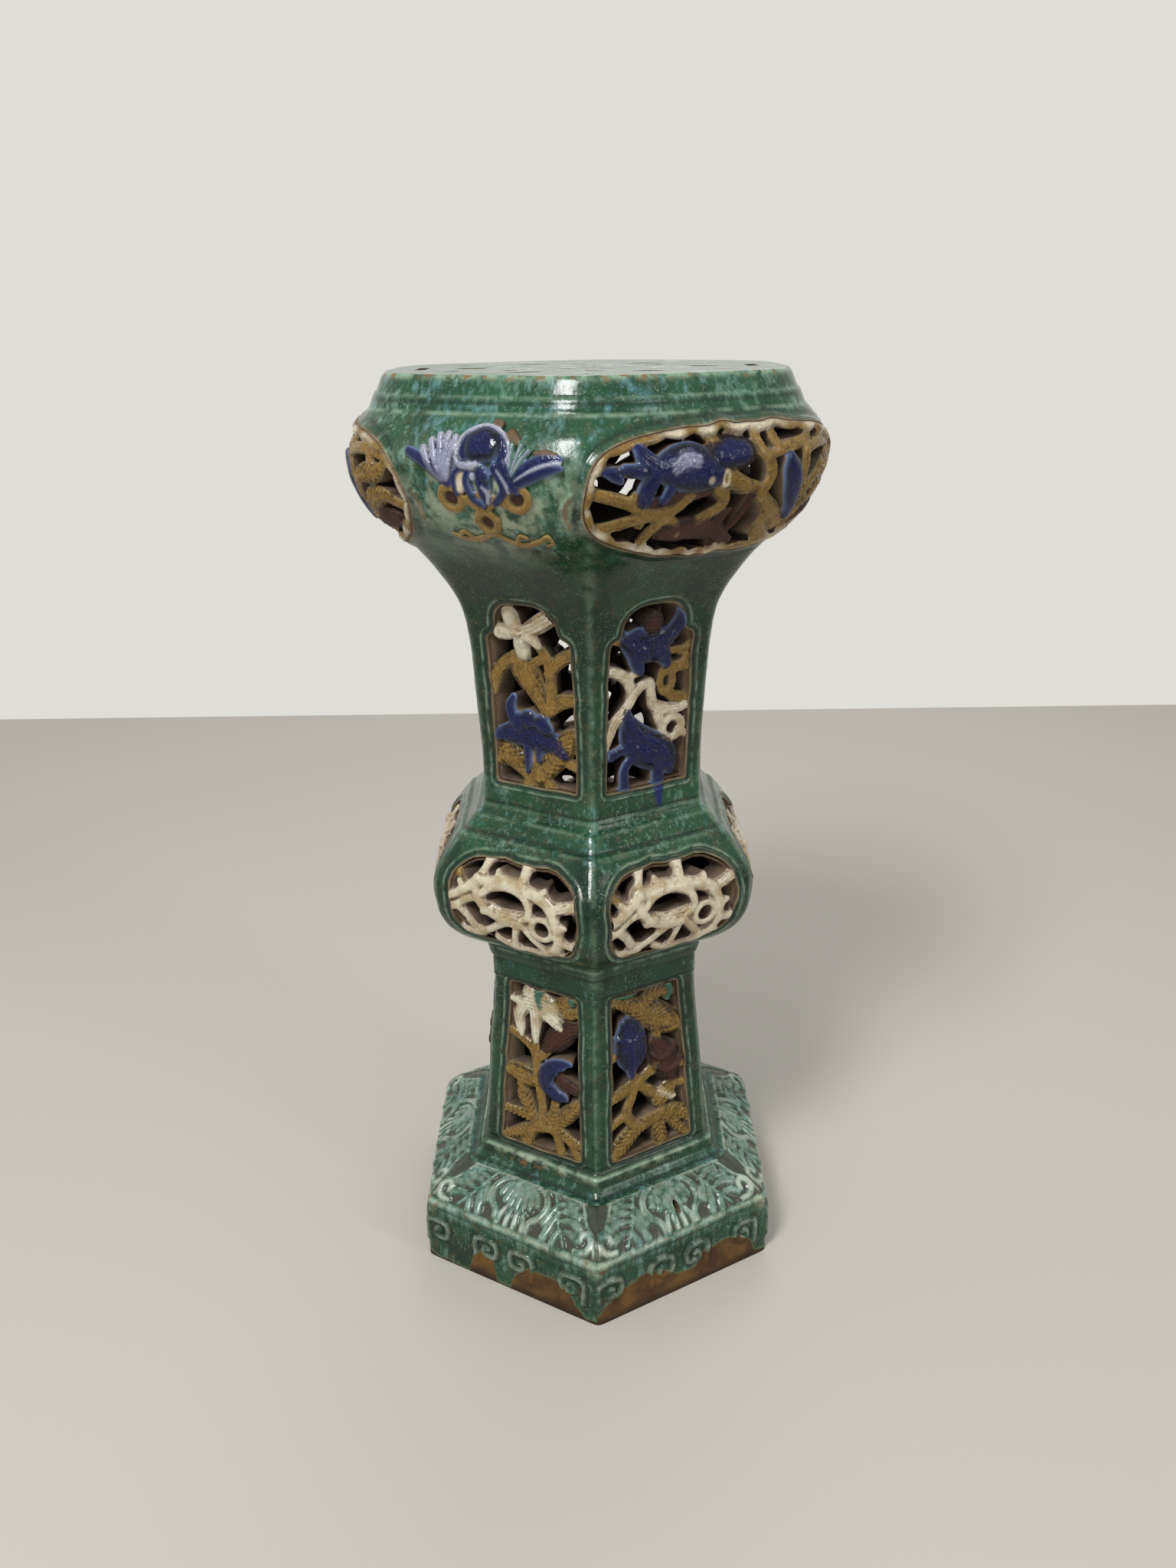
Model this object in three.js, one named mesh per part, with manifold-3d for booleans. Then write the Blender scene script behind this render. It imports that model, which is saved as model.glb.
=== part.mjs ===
// Hexagonal glazed stoneware stand, in millimetres, +Z up.
// The origin is the middle of the foot on the ground, and one corner of the hexagon faces -Y.
// The stand is a stack of press-moulded hollow tiers, each luted onto the one below.
// Its windows hold openwork panels that were modelled apart, and its bowl carries applied sprigs.
import * as THREE from "three";
import { mergeVertices } from "three/addons/utils/BufferGeometryUtils.js";
import Module from "manifold-3d";

const wasm = await Module();
wasm.setup();

// Heights of the tiers, from the ground up.
const plinthHeight = 92;
const torusHeight = 20;
const lowerColumnHeight = 171;
const collarHeight = 33;
const knopHeight = 128;
const upperColumnHeight = 196;
const bowlHeight = 137;
const slabHeight = 23;

// Radii to the corners of the hexagon.
const apronRadius = 185;
const plinthTopRadius = 131;
const torusRadius = 127;
const columnFootRadius = 118;
const columnHeadRadius = 103.4;
const collarRadius = 108.5;
const knopRadius = 156;
const knopHeadRadius = 109;
const waistRadius = 104.5;
const bowlFootRadius = 128.5;
const bowlRadius = 198.5;
const bowlRimRadius = 178;
const slabRadius = 165;

// Heights inside the tiers, each from the foot of its own tier.
const apronHeight = 47;
const lipHeight = 66;
const knopMiddle = 60;
const waistHeight = 40;
const bowlMiddle = 99;

// How far each moulding steps out or in from the radius beside it.
const plinthStep = 8;
const leafBandSwell = 34;
const lipStep = 4;
const torusSwell = 4;
const knopShoulderStep = 23;
const knopNeckStep = 14;
const columnSwell = 5.5;
const bowlFootSwell = 18;
const bowlShoulderStep = 17;
const bowlNeckStep = 6;
const slabStep = 5;

// Walls and fits.
const plinthWall = 14;
const columnWall = 13;
const knopWall = 12;
const bowlWall = 12;
const plateThickness = 11;
const clearance = 0.3;

// Openwork panels: thick slabs cut through and carved on the face.
const panelRecess = 2;
const panelThickness = 16;
const rimWidth = 3.5;

// Windows. Margins are kept to the foot and the head of their own tier.
const lowerWindowFootMargin = 5;
const lowerWindowHeadMargin = 4;
const lowerWindowFootWidth = 84;
const lowerWindowHeadWidth = 68;
const lowerWindowCorner = 4;
const knopWindowFootMargin = 23;
const knopWindowHeadMargin = 28;
const knopWindowWidth = 122;
const knopWindowCorner = 36;
const upperWindowFootMargin = 29;
const upperWindowHeadMargin = 12;
const upperArchRise = 28;
const upperWindowWidth = 76;
const upperArchWidth = 55;

// Cartouches and sprigs on the bowl.
const cartoucheFootMargin = 32;
const cartoucheHeadMargin = 10;
const cartoucheWidth = 246;
const cartoucheTopWidth = 176;
const cartoucheFootWidth = 150;
const cartoucheProud = 3;
const cartoucheRim = 7;
const ornamentTurn = 7;
const sprigFootMargin = 45;
const sprigHeadMargin = 3;
const sprigWidth = 130;
const sprigProud = 7;

// Piercing of the top plate: rings of holes, as distances from its middle.
const piercedHubRadius = 30;
const piercedLeafRadius = 51;
const piercedRingRadius = 92;
const piercedBeadRadius = 118;
const piercedSlotRadius = 131;
const piercedHoleRadius = 13;
const piercedBeadHoleRadius = 8;
const piercedLeafLength = 34;
const piercedLeafWidth = 12;
const piercedSlotLength = 46;
const piercedSlotWidth = 9;

const sides = 6;
const sideAngle = (2 * Math.PI) / sides;
const sharp = 70;

// Each level is worked out from its tier and its margin.
const lowerWindowHead = lowerColumnHeight - lowerWindowHeadMargin;
const knopWindowHead = knopHeight - knopWindowHeadMargin;
const upperWindowHead = upperColumnHeight - upperWindowHeadMargin;
const upperWindowShoulder = upperWindowHead - upperArchRise;
const cartoucheHead = bowlHeight - cartoucheHeadMargin;
const sprigHead = bowlHeight - sprigHeadMargin;

const glaze = { green: 0x3f6b4c, cream: 0xcfc7a2, ochre: 0xa9813a, blue: 0x3a5578, clay: 0x8a6a4c };

// A soft hexagon: the p-norm of the distances to its sides, as a share of the corner radius.
function planShare(fromFace, sharpness) {
  const reach = (angle) => {
    let sum = 0;
    for (let side = 0; side < sides; side += 1) {
      sum += Math.max(0, Math.cos(angle - side * sideAngle)) ** sharpness;
    }
    return sum ** (-1 / sharpness);
  };
  return reach(fromFace) / reach(sideAngle / 2);
}

// Angles of the lathe's columns in one side, from its first corner, in degrees.
const crispColumns = [0, 4, 56];
const softColumns = [0, 8, 22, 38, 52];

// A closed profile of { radius, height, sharpness } turned on a lathe and squeezed to the hexagon.
function hexLathe(profile, columns) {
  const loop = [...profile, profile[0]];
  const points = loop.map((point) => new THREE.Vector2(point.radius, point.height));
  const geometry = new THREE.LatheGeometry(points, sides * columns.length);
  geometry.rotateX(Math.PI / 2);
  const position = geometry.getAttribute("position");
  for (let index = 0; index < position.count; index += 1) {
    const column = Math.floor(index / loop.length) % (sides * columns.length);
    const point = loop[index % loop.length];
    const inSide = THREE.MathUtils.degToRad(columns[column % columns.length]);
    const azimuth = Math.floor(column / columns.length) * sideAngle + inSide;
    const radius = point.radius * planShare(inSide - sideAngle / 2, point.sharpness);
    position.setXYZ(index, radius * Math.sin(azimuth), -radius * Math.cos(azimuth), point.height);
  }
  return geometry;
}

function solidFrom(geometry) {
  const bare = geometry.index ? geometry.clone() : geometry;
  bare.deleteAttribute("normal");
  bare.deleteAttribute("uv");
  const merged = mergeVertices(bare, 1e-4);
  return new wasm.Manifold(
    new wasm.Mesh({
      numProp: 3,
      vertProperties: new Float32Array(merged.getAttribute("position").array),
      triVerts: new Uint32Array(merged.index.array),
    }),
  );
}

function geometryFrom(solid) {
  const mesh = solid.getMesh();
  const geometry = new THREE.BufferGeometry();
  geometry.setAttribute("position", new THREE.BufferAttribute(mesh.vertProperties, 3));
  geometry.setIndex(new THREE.BufferAttribute(mesh.triVerts, 1));
  geometry.computeVertexNormals();
  return geometry;
}

// The ring between the outer profile moved in by inset and by inset + thickness, square to a face.
function ringSolid(outer, inset, thickness, columns) {
  const moved = (distance) =>
    outer.map((point) => ({ ...point, radius: point.radius - distance / Math.cos(sideAngle / 2) }));
  return solidFrom(hexLathe([...moved(inset), ...moved(inset + thickness).reverse()], columns));
}

// A smooth run of profile points through a few stations [height, radius, sharpness].
function smoothProfile(stations, count) {
  const curve = new THREE.CatmullRomCurve3(
    stations.map(([height, radius, sharpness]) => new THREE.Vector3(radius, height, sharpness)),
    false,
    "centripetal",
  );
  return curve.getPoints(count).map((point) => ({
    radius: point.x,
    height: point.y,
    sharpness: point.z,
  }));
}

function straightProfile(stations) {
  return stations.map(([height, radius, sharpness = sharp]) => ({ radius, height, sharpness }));
}

// A flat shape, across and up, pushed out through the wall that faces -Y.
function prism(shape, near, far, steps = 6) {
  const geometry = new THREE.ExtrudeGeometry(shape, {
    depth: far - near,
    bevelEnabled: false,
    curveSegments: steps,
  });
  geometry.rotateX(Math.PI / 2);
  geometry.translate(0, -near, 0);
  return solidFrom(geometry);
}

function turned(solid, azimuth) {
  return solid.rotate([0, 0, THREE.MathUtils.radToDeg(azimuth)]);
}

function joined(solids) {
  return solids.reduce((whole, solid) => whole.add(solid));
}

// Outlines of the windows. Each takes an inset: a panel uses the same outline less its clearance.
function lowerWindow(inset = 0) {
  const foot = lowerWindowFootMargin + inset;
  const head = lowerWindowHead - inset;
  const corner = lowerWindowCorner;
  const footHalf = lowerWindowFootWidth / 2 - inset;
  const headHalf = lowerWindowHeadWidth / 2 - inset;
  const shape = new THREE.Shape();
  shape.moveTo(-footHalf + corner, foot);
  shape.lineTo(footHalf - corner, foot);
  shape.quadraticCurveTo(footHalf, foot, footHalf, foot + corner);
  shape.lineTo(headHalf, head - corner);
  shape.quadraticCurveTo(headHalf, head, headHalf - corner, head);
  shape.lineTo(-headHalf + corner, head);
  shape.quadraticCurveTo(-headHalf, head, -headHalf, head - corner);
  shape.lineTo(-footHalf, foot + corner);
  shape.quadraticCurveTo(-footHalf, foot, -footHalf + corner, foot);
  return shape;
}

function knopWindow(inset = 0) {
  const foot = knopWindowFootMargin + inset;
  const head = knopWindowHead - inset;
  const half = knopWindowWidth / 2 - inset;
  const corner = knopWindowCorner - inset;
  const shape = new THREE.Shape();
  shape.moveTo(-half + corner, foot);
  shape.lineTo(half - corner, foot);
  shape.quadraticCurveTo(half, foot, half, foot + corner);
  shape.lineTo(half, head - corner);
  shape.quadraticCurveTo(half, head, half - corner, head);
  shape.lineTo(-half + corner, head);
  shape.quadraticCurveTo(-half, head, -half, head - corner);
  shape.lineTo(-half, foot + corner);
  shape.quadraticCurveTo(-half, foot, -half + corner, foot);
  return shape;
}

function upperWindow(inset = 0) {
  const foot = upperWindowFootMargin + inset;
  const shoulder = upperWindowShoulder - inset;
  const head = upperWindowHead - inset;
  const half = upperWindowWidth / 2 - inset;
  const archHalf = upperArchWidth / 2 - inset;
  const spring = shoulder + 0.3 * (head - shoulder);
  const shape = new THREE.Shape();
  shape.moveTo(-half, foot);
  shape.lineTo(half, foot);
  shape.lineTo(half, shoulder);
  shape.quadraticCurveTo(archHalf, shoulder, archHalf, spring);
  shape.quadraticCurveTo(0.8 * archHalf, head, 0, head);
  shape.quadraticCurveTo(-0.8 * archHalf, head, -archHalf, spring);
  shape.quadraticCurveTo(-archHalf, shoulder, -half, shoulder);
  shape.lineTo(-half, foot);
  return shape;
}

function cartoucheOutline(inset = 0) {
  const foot = cartoucheFootMargin + inset;
  const head = cartoucheHead - inset;
  const half = cartoucheWidth / 2 - inset;
  const topHalf = cartoucheTopWidth / 2 - inset;
  const footHalf = cartoucheFootWidth / 2 - inset;
  const middle = foot + 0.55 * (head - foot);
  const shape = new THREE.Shape();
  shape.moveTo(-footHalf, foot);
  shape.lineTo(footHalf, foot);
  shape.bezierCurveTo(half - 8, foot + 8, half, middle - 24, half, middle);
  shape.bezierCurveTo(half, middle + 22, topHalf + 12, head, topHalf, head);
  shape.lineTo(-topHalf, head);
  shape.bezierCurveTo(-topHalf - 12, head, -half, middle + 22, -half, middle);
  shape.bezierCurveTo(-half, middle - 24, -half + 8, foot + 8, -footHalf, foot);
  return shape;
}

// Strokes of the openwork.
function ribbon(points, width, steps = 6) {
  const curve = new THREE.SplineCurve(points.map(([across, up]) => new THREE.Vector2(across, up)));
  const spine = curve.getPoints(steps);
  const side = (share) =>
    spine.map((point, index) => {
      const along = curve.getTangent(index / steps);
      return new THREE.Vector2(point.x - share * along.y, point.y + share * along.x);
    });
  return new THREE.Shape([...side(width / 2), ...side(-width / 2).reverse()]);
}

function disc(across, up, radius, steps) {
  const points = [];
  for (let step = 0; step < steps; step += 1) {
    const angle = (step / steps) * 2 * Math.PI;
    points.push(new THREE.Vector2(across + radius * Math.cos(angle), up + radius * Math.sin(angle)));
  }
  return new THREE.Shape(points);
}

// A leaf: a pointed oval from its stem, at an angle from across.
function leaf(across, up, length, width, angle) {
  const steps = 3;
  const points = [];
  for (let step = 0; step < 2 * steps; step += 1) {
    const share = step <= steps ? step / steps : 2 - step / steps;
    const half = (step <= steps ? 1 : -1) * 0.5 * width * Math.sin(Math.PI * share);
    points.push(
      new THREE.Vector2(
        across + length * share * Math.cos(angle) - half * Math.sin(angle),
        up + length * share * Math.sin(angle) + half * Math.cos(angle),
      ),
    );
  }
  return new THREE.Shape(points);
}

// A flower: one outline that runs out and back along each petal in turn.
function flower(middle, length, width, angles) {
  const [across, up] = middle;
  const heart = 0.35 * length;
  const sorted = angles.map((angle) => (angle + 2 * Math.PI) % (2 * Math.PI)).sort((a, b) => a - b);
  const reach = (angle, distance) =>
    new THREE.Vector2(across + distance * Math.cos(angle), up + distance * Math.sin(angle));
  const points = sorted.flatMap((angle, index) => {
    const next = sorted[(index + 1) % sorted.length] + (index + 1 === sorted.length ? 2 * Math.PI : 0);
    const spread = Math.atan2(width / 2, 0.75 * length);
    return [
      reach(angle - spread, 0.75 * length),
      reach(angle, length),
      reach(angle + spread, 0.75 * length),
      reach((angle + next) / 2, heart),
    ];
  });
  return new THREE.Shape(points);
}

// Designs of the openwork. Each is drawn in millimetres on a window of its own drawn size,
// across from the middle and up from the foot of the tier, and fitTo() fits it to the real window.
// Stems run into the rim or into each other, so each panel is one piece.
const drawnUpper = { half: 38, foot: 29, head: 184 };
const drawnLower = { half: 42, foot: 5, head: 167 };
const drawnKnop = { half: 61, foot: 23, head: 100 };
const drawnCartouche = { half: 123, foot: 32, head: 127 };
const drawnSprig = { half: 65, foot: 45, head: 134 };

function lotusPanel(at) {
  return [
    ribbon([at(3, 154), at(13, 143), at(15, 122), at(15, 100)], 7, 3),
    ribbon([at(13, 134), at(40, 149)], 8, 1),
    ribbon([at(15, 100), at(40, 111)], 9, 1),
    ribbon([at(-40, 107), at(-23, 128), at(-7, 132), at(6, 112), at(15, 98)], 8, 4),
    ribbon([at(-7, 132), at(14, 137)], 7, 1),
    leaf(...at(-5, 130), 28, 17, -2.2),
    flower(at(-11, 156), 21, 12, [0.45, 1.75, 2.9, -1.3]),
    ribbon([at(-40, 70), at(-18, 80), at(-3, 87), at(12, 77), at(25, 62)], 15, 4),
    ribbon([at(-19, 102), at(-12, 86)], 9, 1),
    ribbon([at(-6, 78), at(-5, 42)], 6, 1),
    ribbon([at(5, 76), at(0, 40)], 6, 1),
    ribbon([at(-8, 26), at(-3, 44)], 15, 1),
    leaf(...at(-4, 34), 58, 22, 0.9),
    leaf(...at(-4, 34), 38, 18, 2.55),
  ];
}

function lionPanel(at) {
  return [
    disc(...at(-3, 167), 11, 8),
    ribbon([at(-28, 150), at(-6, 149), at(12, 156), at(27, 174)], 14, 3),
    ribbon([at(-7, 150), at(-8, 130)], 11, 1),
    ribbon([at(6, 152), at(12, 132)], 10, 1),
    ribbon([at(-40, 134), at(-19, 123), at(-14, 107), at(-28, 97), at(-40, 82)], 7, 4),
    ribbon([at(-20, 124), at(-8, 131)], 7, 1),
    ribbon([at(-14, 107), at(-1, 116), at(0, 96), at(15, 80), at(40, 74)], 7, 4),
    ribbon([at(12, 133), at(17, 145), at(40, 140)], 7, 2),
    ribbon([at(12, 133), at(12, 104), at(40, 107)], 7, 2),
    ribbon([at(17, 144), at(26, 122), at(13, 105)], 6, 2),
    ribbon([at(-20, 88), at(-8, 67), at(10, 61), at(20, 47)], 25, 3),
    ribbon([at(-12, 66), at(-40, 60)], 7, 1),
    ribbon([at(-12, 60), at(-21, 44), at(-20, 26)], 9, 2),
    ribbon([at(15, 50), at(13, 26)], 11, 1),
    ribbon([at(0, 96), at(-10, 78)], 7, 1),
  ];
}

function bellflowerPanel(at) {
  return [
    flower(at(-5, 148), 24, 12, [1.6, -2.5, -1.75, -0.5]),
    leaf(...at(4, 140), 42, 13, 0.55),
    ribbon([at(4, 106), at(16, 121), at(34, 137)], 19, 2),
    ribbon([at(-6, 28), at(0, 44), at(-3, 69), at(-5, 91), at(-9, 124)], 8, 4),
    ribbon([at(-5, 97), at(-40, 118)], 8, 1),
    disc(...at(-17, 75), 10, 6),
    ribbon([at(-42, 82), at(-17, 76), at(-3, 70)], 7, 2),
    ribbon([at(30, 97), at(11, 92), at(3, 80), at(11, 66), at(26, 63)], 13, 4),
    ribbon([at(12, 78), at(42, 77)], 10, 1),
    ribbon([at(-4, 84), at(5, 82)], 8, 1),
    leaf(...at(0, 36), 32, 12, 2.3),
    ribbon([at(8, 32), at(13, 64)], 8, 1),
    leaf(...at(8, 30), 40, 13, 0.78),
    ribbon([at(-45, 38), at(-6, 31), at(18, 31), at(45, 18)], 10, 3),
    ribbon([at(-6, 31), at(-24, 3)], 12, 1),
    ribbon([at(18, 31), at(17, 3)], 10, 1),
  ];
}

function budPanel(at) {
  return [
    ribbon([at(-38, 162), at(-9, 143), at(5, 131), at(13, 108)], 9, 3),
    leaf(...at(-9, 150), 52, 23, -0.62),
    disc(...at(-17, 118), 17, 8),
    ribbon([at(-42, 120), at(-17, 118)], 9, 1),
    ribbon([at(-17, 104), at(-15, 80)], 8, 1),
    leaf(...at(9, 116), 52, 28, -1.15),
    ribbon([at(-42, 66), at(-15, 80), at(7, 86), at(22, 90)], 11, 3),
    ribbon([at(-15, 80), at(1, 64), at(18, 56), at(42, 58)], 10, 3),
    disc(...at(20, 56), 14, 8),
    ribbon([at(-19, 78), at(-22, 52), at(-9, 38), at(9, 38)], 10, 3),
    leaf(...at(12, 41), 58, 22, -2.55),
    leaf(...at(9, 42), 42, 14, -1.42),
    leaf(...at(6, 40), 42, 15, -0.42),
  ];
}

function knopPanelDesign(at) {
  const scrollHead = [at(-52, 74), at(-34, 84), at(-5, 79), at(18, 80)];
  const scrollTail = [at(42, 68), at(47, 50), at(38, 30), at(12, 22)];
  return [
    ribbon([...scrollHead, ...scrollTail], 8, 7),
    ribbon([at(-36, 84), at(-33, 60), at(-26, 40), at(-12, 33)], 9, 3),
    ribbon([at(-31, 56), at(-8, 50), at(16, 52), at(22, 66), at(18, 80)], 9, 4),
    ribbon([at(-64, 52), at(-50, 56), at(-30, 40), at(-38, 20)], 8, 3),
    ribbon([at(14, 52), at(-4, 44), at(-14, 32), at(12, 22)], 7, 3),
    ribbon([at(12, 52), at(2, 20)], 7, 1),
    ribbon([at(14, 52), at(34, 28)], 7, 1),
    ribbon([at(22, 56), at(46, 52)], 7, 1),
    ribbon([at(-34, 84), at(-30, 104)], 8, 1),
    ribbon([at(16, 80), at(12, 104)], 10, 1),
    ribbon([at(42, 66), at(64, 76)], 8, 1),
    ribbon([at(44, 40), at(64, 42)], 8, 1),
  ];
}

function cartoucheDesign(at) {
  return [
    ribbon([at(-130, 84), at(-91, 74), at(-55, 72), at(-45, 84)], 9, 3),
    ribbon([at(-128, 62), at(-91, 66), at(-57, 62), at(-22, 66), at(-16, 84), at(-22, 100)], 9, 5),
    ribbon([at(-76, 64), at(-70, 36)], 9, 1),
    leaf(...at(-95, 95), 66, 30, 0),
    ribbon([at(-95, 96), at(-88, 110)], 10, 1),
    ribbon([at(-97, 95), at(-82, 80)], 11, 1),
    ribbon([at(-130, 97), at(-95, 97)], 8, 1),
    disc(...at(-13, 109), 16, 8),
    ribbon([at(-16, 88), at(7, 82), at(19, 98), at(7, 122), at(7, 132)], 9, 4),
    ribbon([at(19, 98), at(33, 106), at(62, 112), at(100, 108), at(124, 100)], 8, 4),
    ribbon([at(31, 130), at(33, 106)], 7, 1),
    ribbon([at(17, 96), at(17, 70), at(47, 54), at(60, 36)], 9, 3),
    leaf(...at(38, 101), 46, 20, -1.15),
    ribbon([at(34, 106), at(24, 78)], 8, 1),
    ribbon([at(-50, 50), at(-16, 50), at(14, 40), at(30, 30)], 19, 3),
    ribbon([at(6, 46), at(14, 74)], 8, 1),
    ribbon([at(-48, 50), at(-62, 36)], 9, 1),
    ribbon([at(56, 62), at(84, 76), at(100, 104)], 9, 2),
    ribbon([at(84, 76), at(80, 40)], 9, 1),
    leaf(...at(90, 56), 42, 22, 0.8),
    ribbon([at(92, 60), at(112, 48)], 9, 1),
  ];
}

// The whole of a panel: a rim along its window and the design inside it, cut from a curved sheet.
function panelSolid(sheet, outline, rim, design, steps) {
  const reach = 2 * bowlRadius;
  const blank = prism(outline(clearance), 0, reach, steps);
  const border = blank.subtract(prism(outline(clearance + rim), 0, reach, steps));
  const strokes = design.map((shape) => prism(shape, 0, reach, steps).intersect(blank));
  return sheet.intersect(joined([border, ...strokes]));
}

function material(color, roughness = 0.3) {
  return new THREE.MeshStandardMaterial({ color, roughness, metalness: 0 });
}

function named(name, solid, color, roughness) {
  const mesh = new THREE.Mesh(geometryFrom(solid), material(color, roughness));
  mesh.name = name;
  return mesh;
}

// Walls of the tiers, as outer profiles.
const plinthProfile = straightProfile([
  [0, apronRadius],
  [apronHeight, apronRadius],
  [apronHeight + 2, apronRadius - 2],
  [lipHeight - 5, apronRadius - 0.5],
  [lipHeight, apronRadius - lipStep],
  [lipHeight + 0.46 * (plinthHeight - lipHeight), plinthTopRadius + leafBandSwell],
  [plinthHeight, plinthTopRadius + plinthStep],
]);
const torusProfile = straightProfile([
  [0, plinthTopRadius],
  [0.15 * torusHeight, torusRadius + torusSwell],
  [0.4 * torusHeight, torusRadius],
  [0.75 * torusHeight, torusRadius - 2],
  [torusHeight, columnFootRadius + 1],
]);
const lowerColumnProfile = straightProfile([
  [0, columnFootRadius],
  [lowerColumnHeight, columnHeadRadius],
]);
const collarProfile = straightProfile([
  [0, columnHeadRadius + 1],
  [0.52 * collarHeight, columnHeadRadius + 1],
  [0.6 * collarHeight, collarRadius - 2],
  [0.82 * collarHeight, collarRadius],
  [collarHeight, collarRadius - 0.5],
]);
const knopProfile = smoothProfile(
  [
    [0, collarRadius, 60],
    [0.11 * knopHeight, knopRadius - knopShoulderStep, 45],
    [knopMiddle, knopRadius, 40],
    [0.75 * knopHeight, knopRadius - knopNeckStep, 40],
    [knopHeight - 2, knopHeadRadius + 3, 40],
    [knopHeight, knopHeadRadius + 1, 50],
  ],
  6,
);
const upperColumnProfile = smoothProfile(
  [
    [0, knopHeadRadius, 50],
    [waistHeight, waistRadius, 50],
    [0.69 * upperColumnHeight, waistRadius + columnSwell, 40],
    [upperColumnHeight, bowlFootRadius, 24],
  ],
  6,
);
const bowlProfile = smoothProfile(
  [
    [0, bowlFootRadius, 24],
    [0.18 * bowlHeight, bowlFootRadius + bowlFootSwell, 17],
    [0.42 * bowlHeight, bowlRadius - bowlShoulderStep, 10],
    [bowlMiddle, bowlRadius, 9],
    [0.95 * bowlHeight, bowlRimRadius + bowlNeckStep, 9],
    [bowlHeight, bowlRimRadius, 9],
  ],
  8,
);

const faceTurn = sideAngle / 2;
const faces = Array.from({ length: sides }, (_, index) => faceTurn + index * sideAngle);

// A wall with one window cut in each face.
function windowedWall(profile, wall, columns, outline, steps) {
  let solid = ringSolid(profile, 0, wall, columns);
  const cutter = prism(outline(), 0, 2 * bowlRadius, steps);
  for (const azimuth of faces) {
    solid = solid.subtract(turned(cutter, azimuth));
  }
  return solid;
}

// The sheet of a panel, turned so that one face looks to -Y.
function panelSheet(profile, columns) {
  return turned(ringSolid(profile, panelRecess, panelThickness, columns), -faceTurn);
}

// Fits a drawing to a window that has been cut, both taken across from the middle.
function fitTo(drawn, half, foot, head) {
  return (across, up) => [
    (across * half) / drawn.half,
    foot + ((up - drawn.foot) * (head - foot)) / (drawn.head - drawn.foot),
  ];
}

function addPanels(tier, name, solids, color) {
  faces.forEach((azimuth, index) => {
    const mesh = named(`${name}_${index + 1}`, solids[index % solids.length], color);
    mesh.rotation.z = azimuth;
    tier.add(mesh);
  });
}

function plinth() {
  const tier = new THREE.Group();
  tier.add(named("foot_plinth", ringSolid(plinthProfile, 0, plinthWall, crispColumns), glaze.green));
  return tier;
}

function baseTorus() {
  const tier = new THREE.Group();
  tier.add(named("base_torus", ringSolid(torusProfile, 0, columnWall, crispColumns), glaze.green));
  return tier;
}

function lowerColumn() {
  const tier = new THREE.Group();
  const wall = windowedWall(lowerColumnProfile, columnWall, crispColumns, lowerWindow, 2);
  tier.add(named("lower_column", wall, glaze.green));
  const sheet = panelSheet(lowerColumnProfile, crispColumns);
  const place = fitTo(drawnLower, lowerWindowFootWidth / 2, lowerWindowFootMargin, lowerWindowHead);
  const panels = [budPanel, bellflowerPanel].map((design) =>
    panelSolid(sheet, lowerWindow, rimWidth, design(place), 2),
  );
  addPanels(tier, "lower_panel", panels, glaze.ochre);
  return tier;
}

function waistCollar() {
  const tier = new THREE.Group();
  tier.add(named("waist_collar", ringSolid(collarProfile, 0, columnWall, crispColumns), glaze.green));
  return tier;
}

function knop() {
  const tier = new THREE.Group();
  const wall = windowedWall(knopProfile, knopWall, crispColumns, knopWindow, 3);
  tier.add(named("knop", wall, glaze.green));
  const sheet = panelSheet(knopProfile, crispColumns);
  const place = fitTo(drawnKnop, knopWindowWidth / 2, knopWindowFootMargin, knopWindowHead);
  const panel = panelSolid(sheet, knopWindow, rimWidth, knopPanelDesign(place), 3);
  addPanels(tier, "knop_panel", [panel], glaze.cream);
  return tier;
}

function upperColumn() {
  const tier = new THREE.Group();
  const wall = windowedWall(upperColumnProfile, columnWall, crispColumns, upperWindow, 3);
  tier.add(named("upper_column", wall, glaze.green));
  const sheet = panelSheet(upperColumnProfile, crispColumns);
  const place = fitTo(drawnUpper, upperWindowWidth / 2, upperWindowFootMargin, upperWindowHead);
  const panels = [lionPanel, lotusPanel].map((design) =>
    panelSolid(sheet, upperWindow, rimWidth, design(place), 3),
  );
  addPanels(tier, "upper_panel", panels, glaze.ochre);
  return tier;
}

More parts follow.
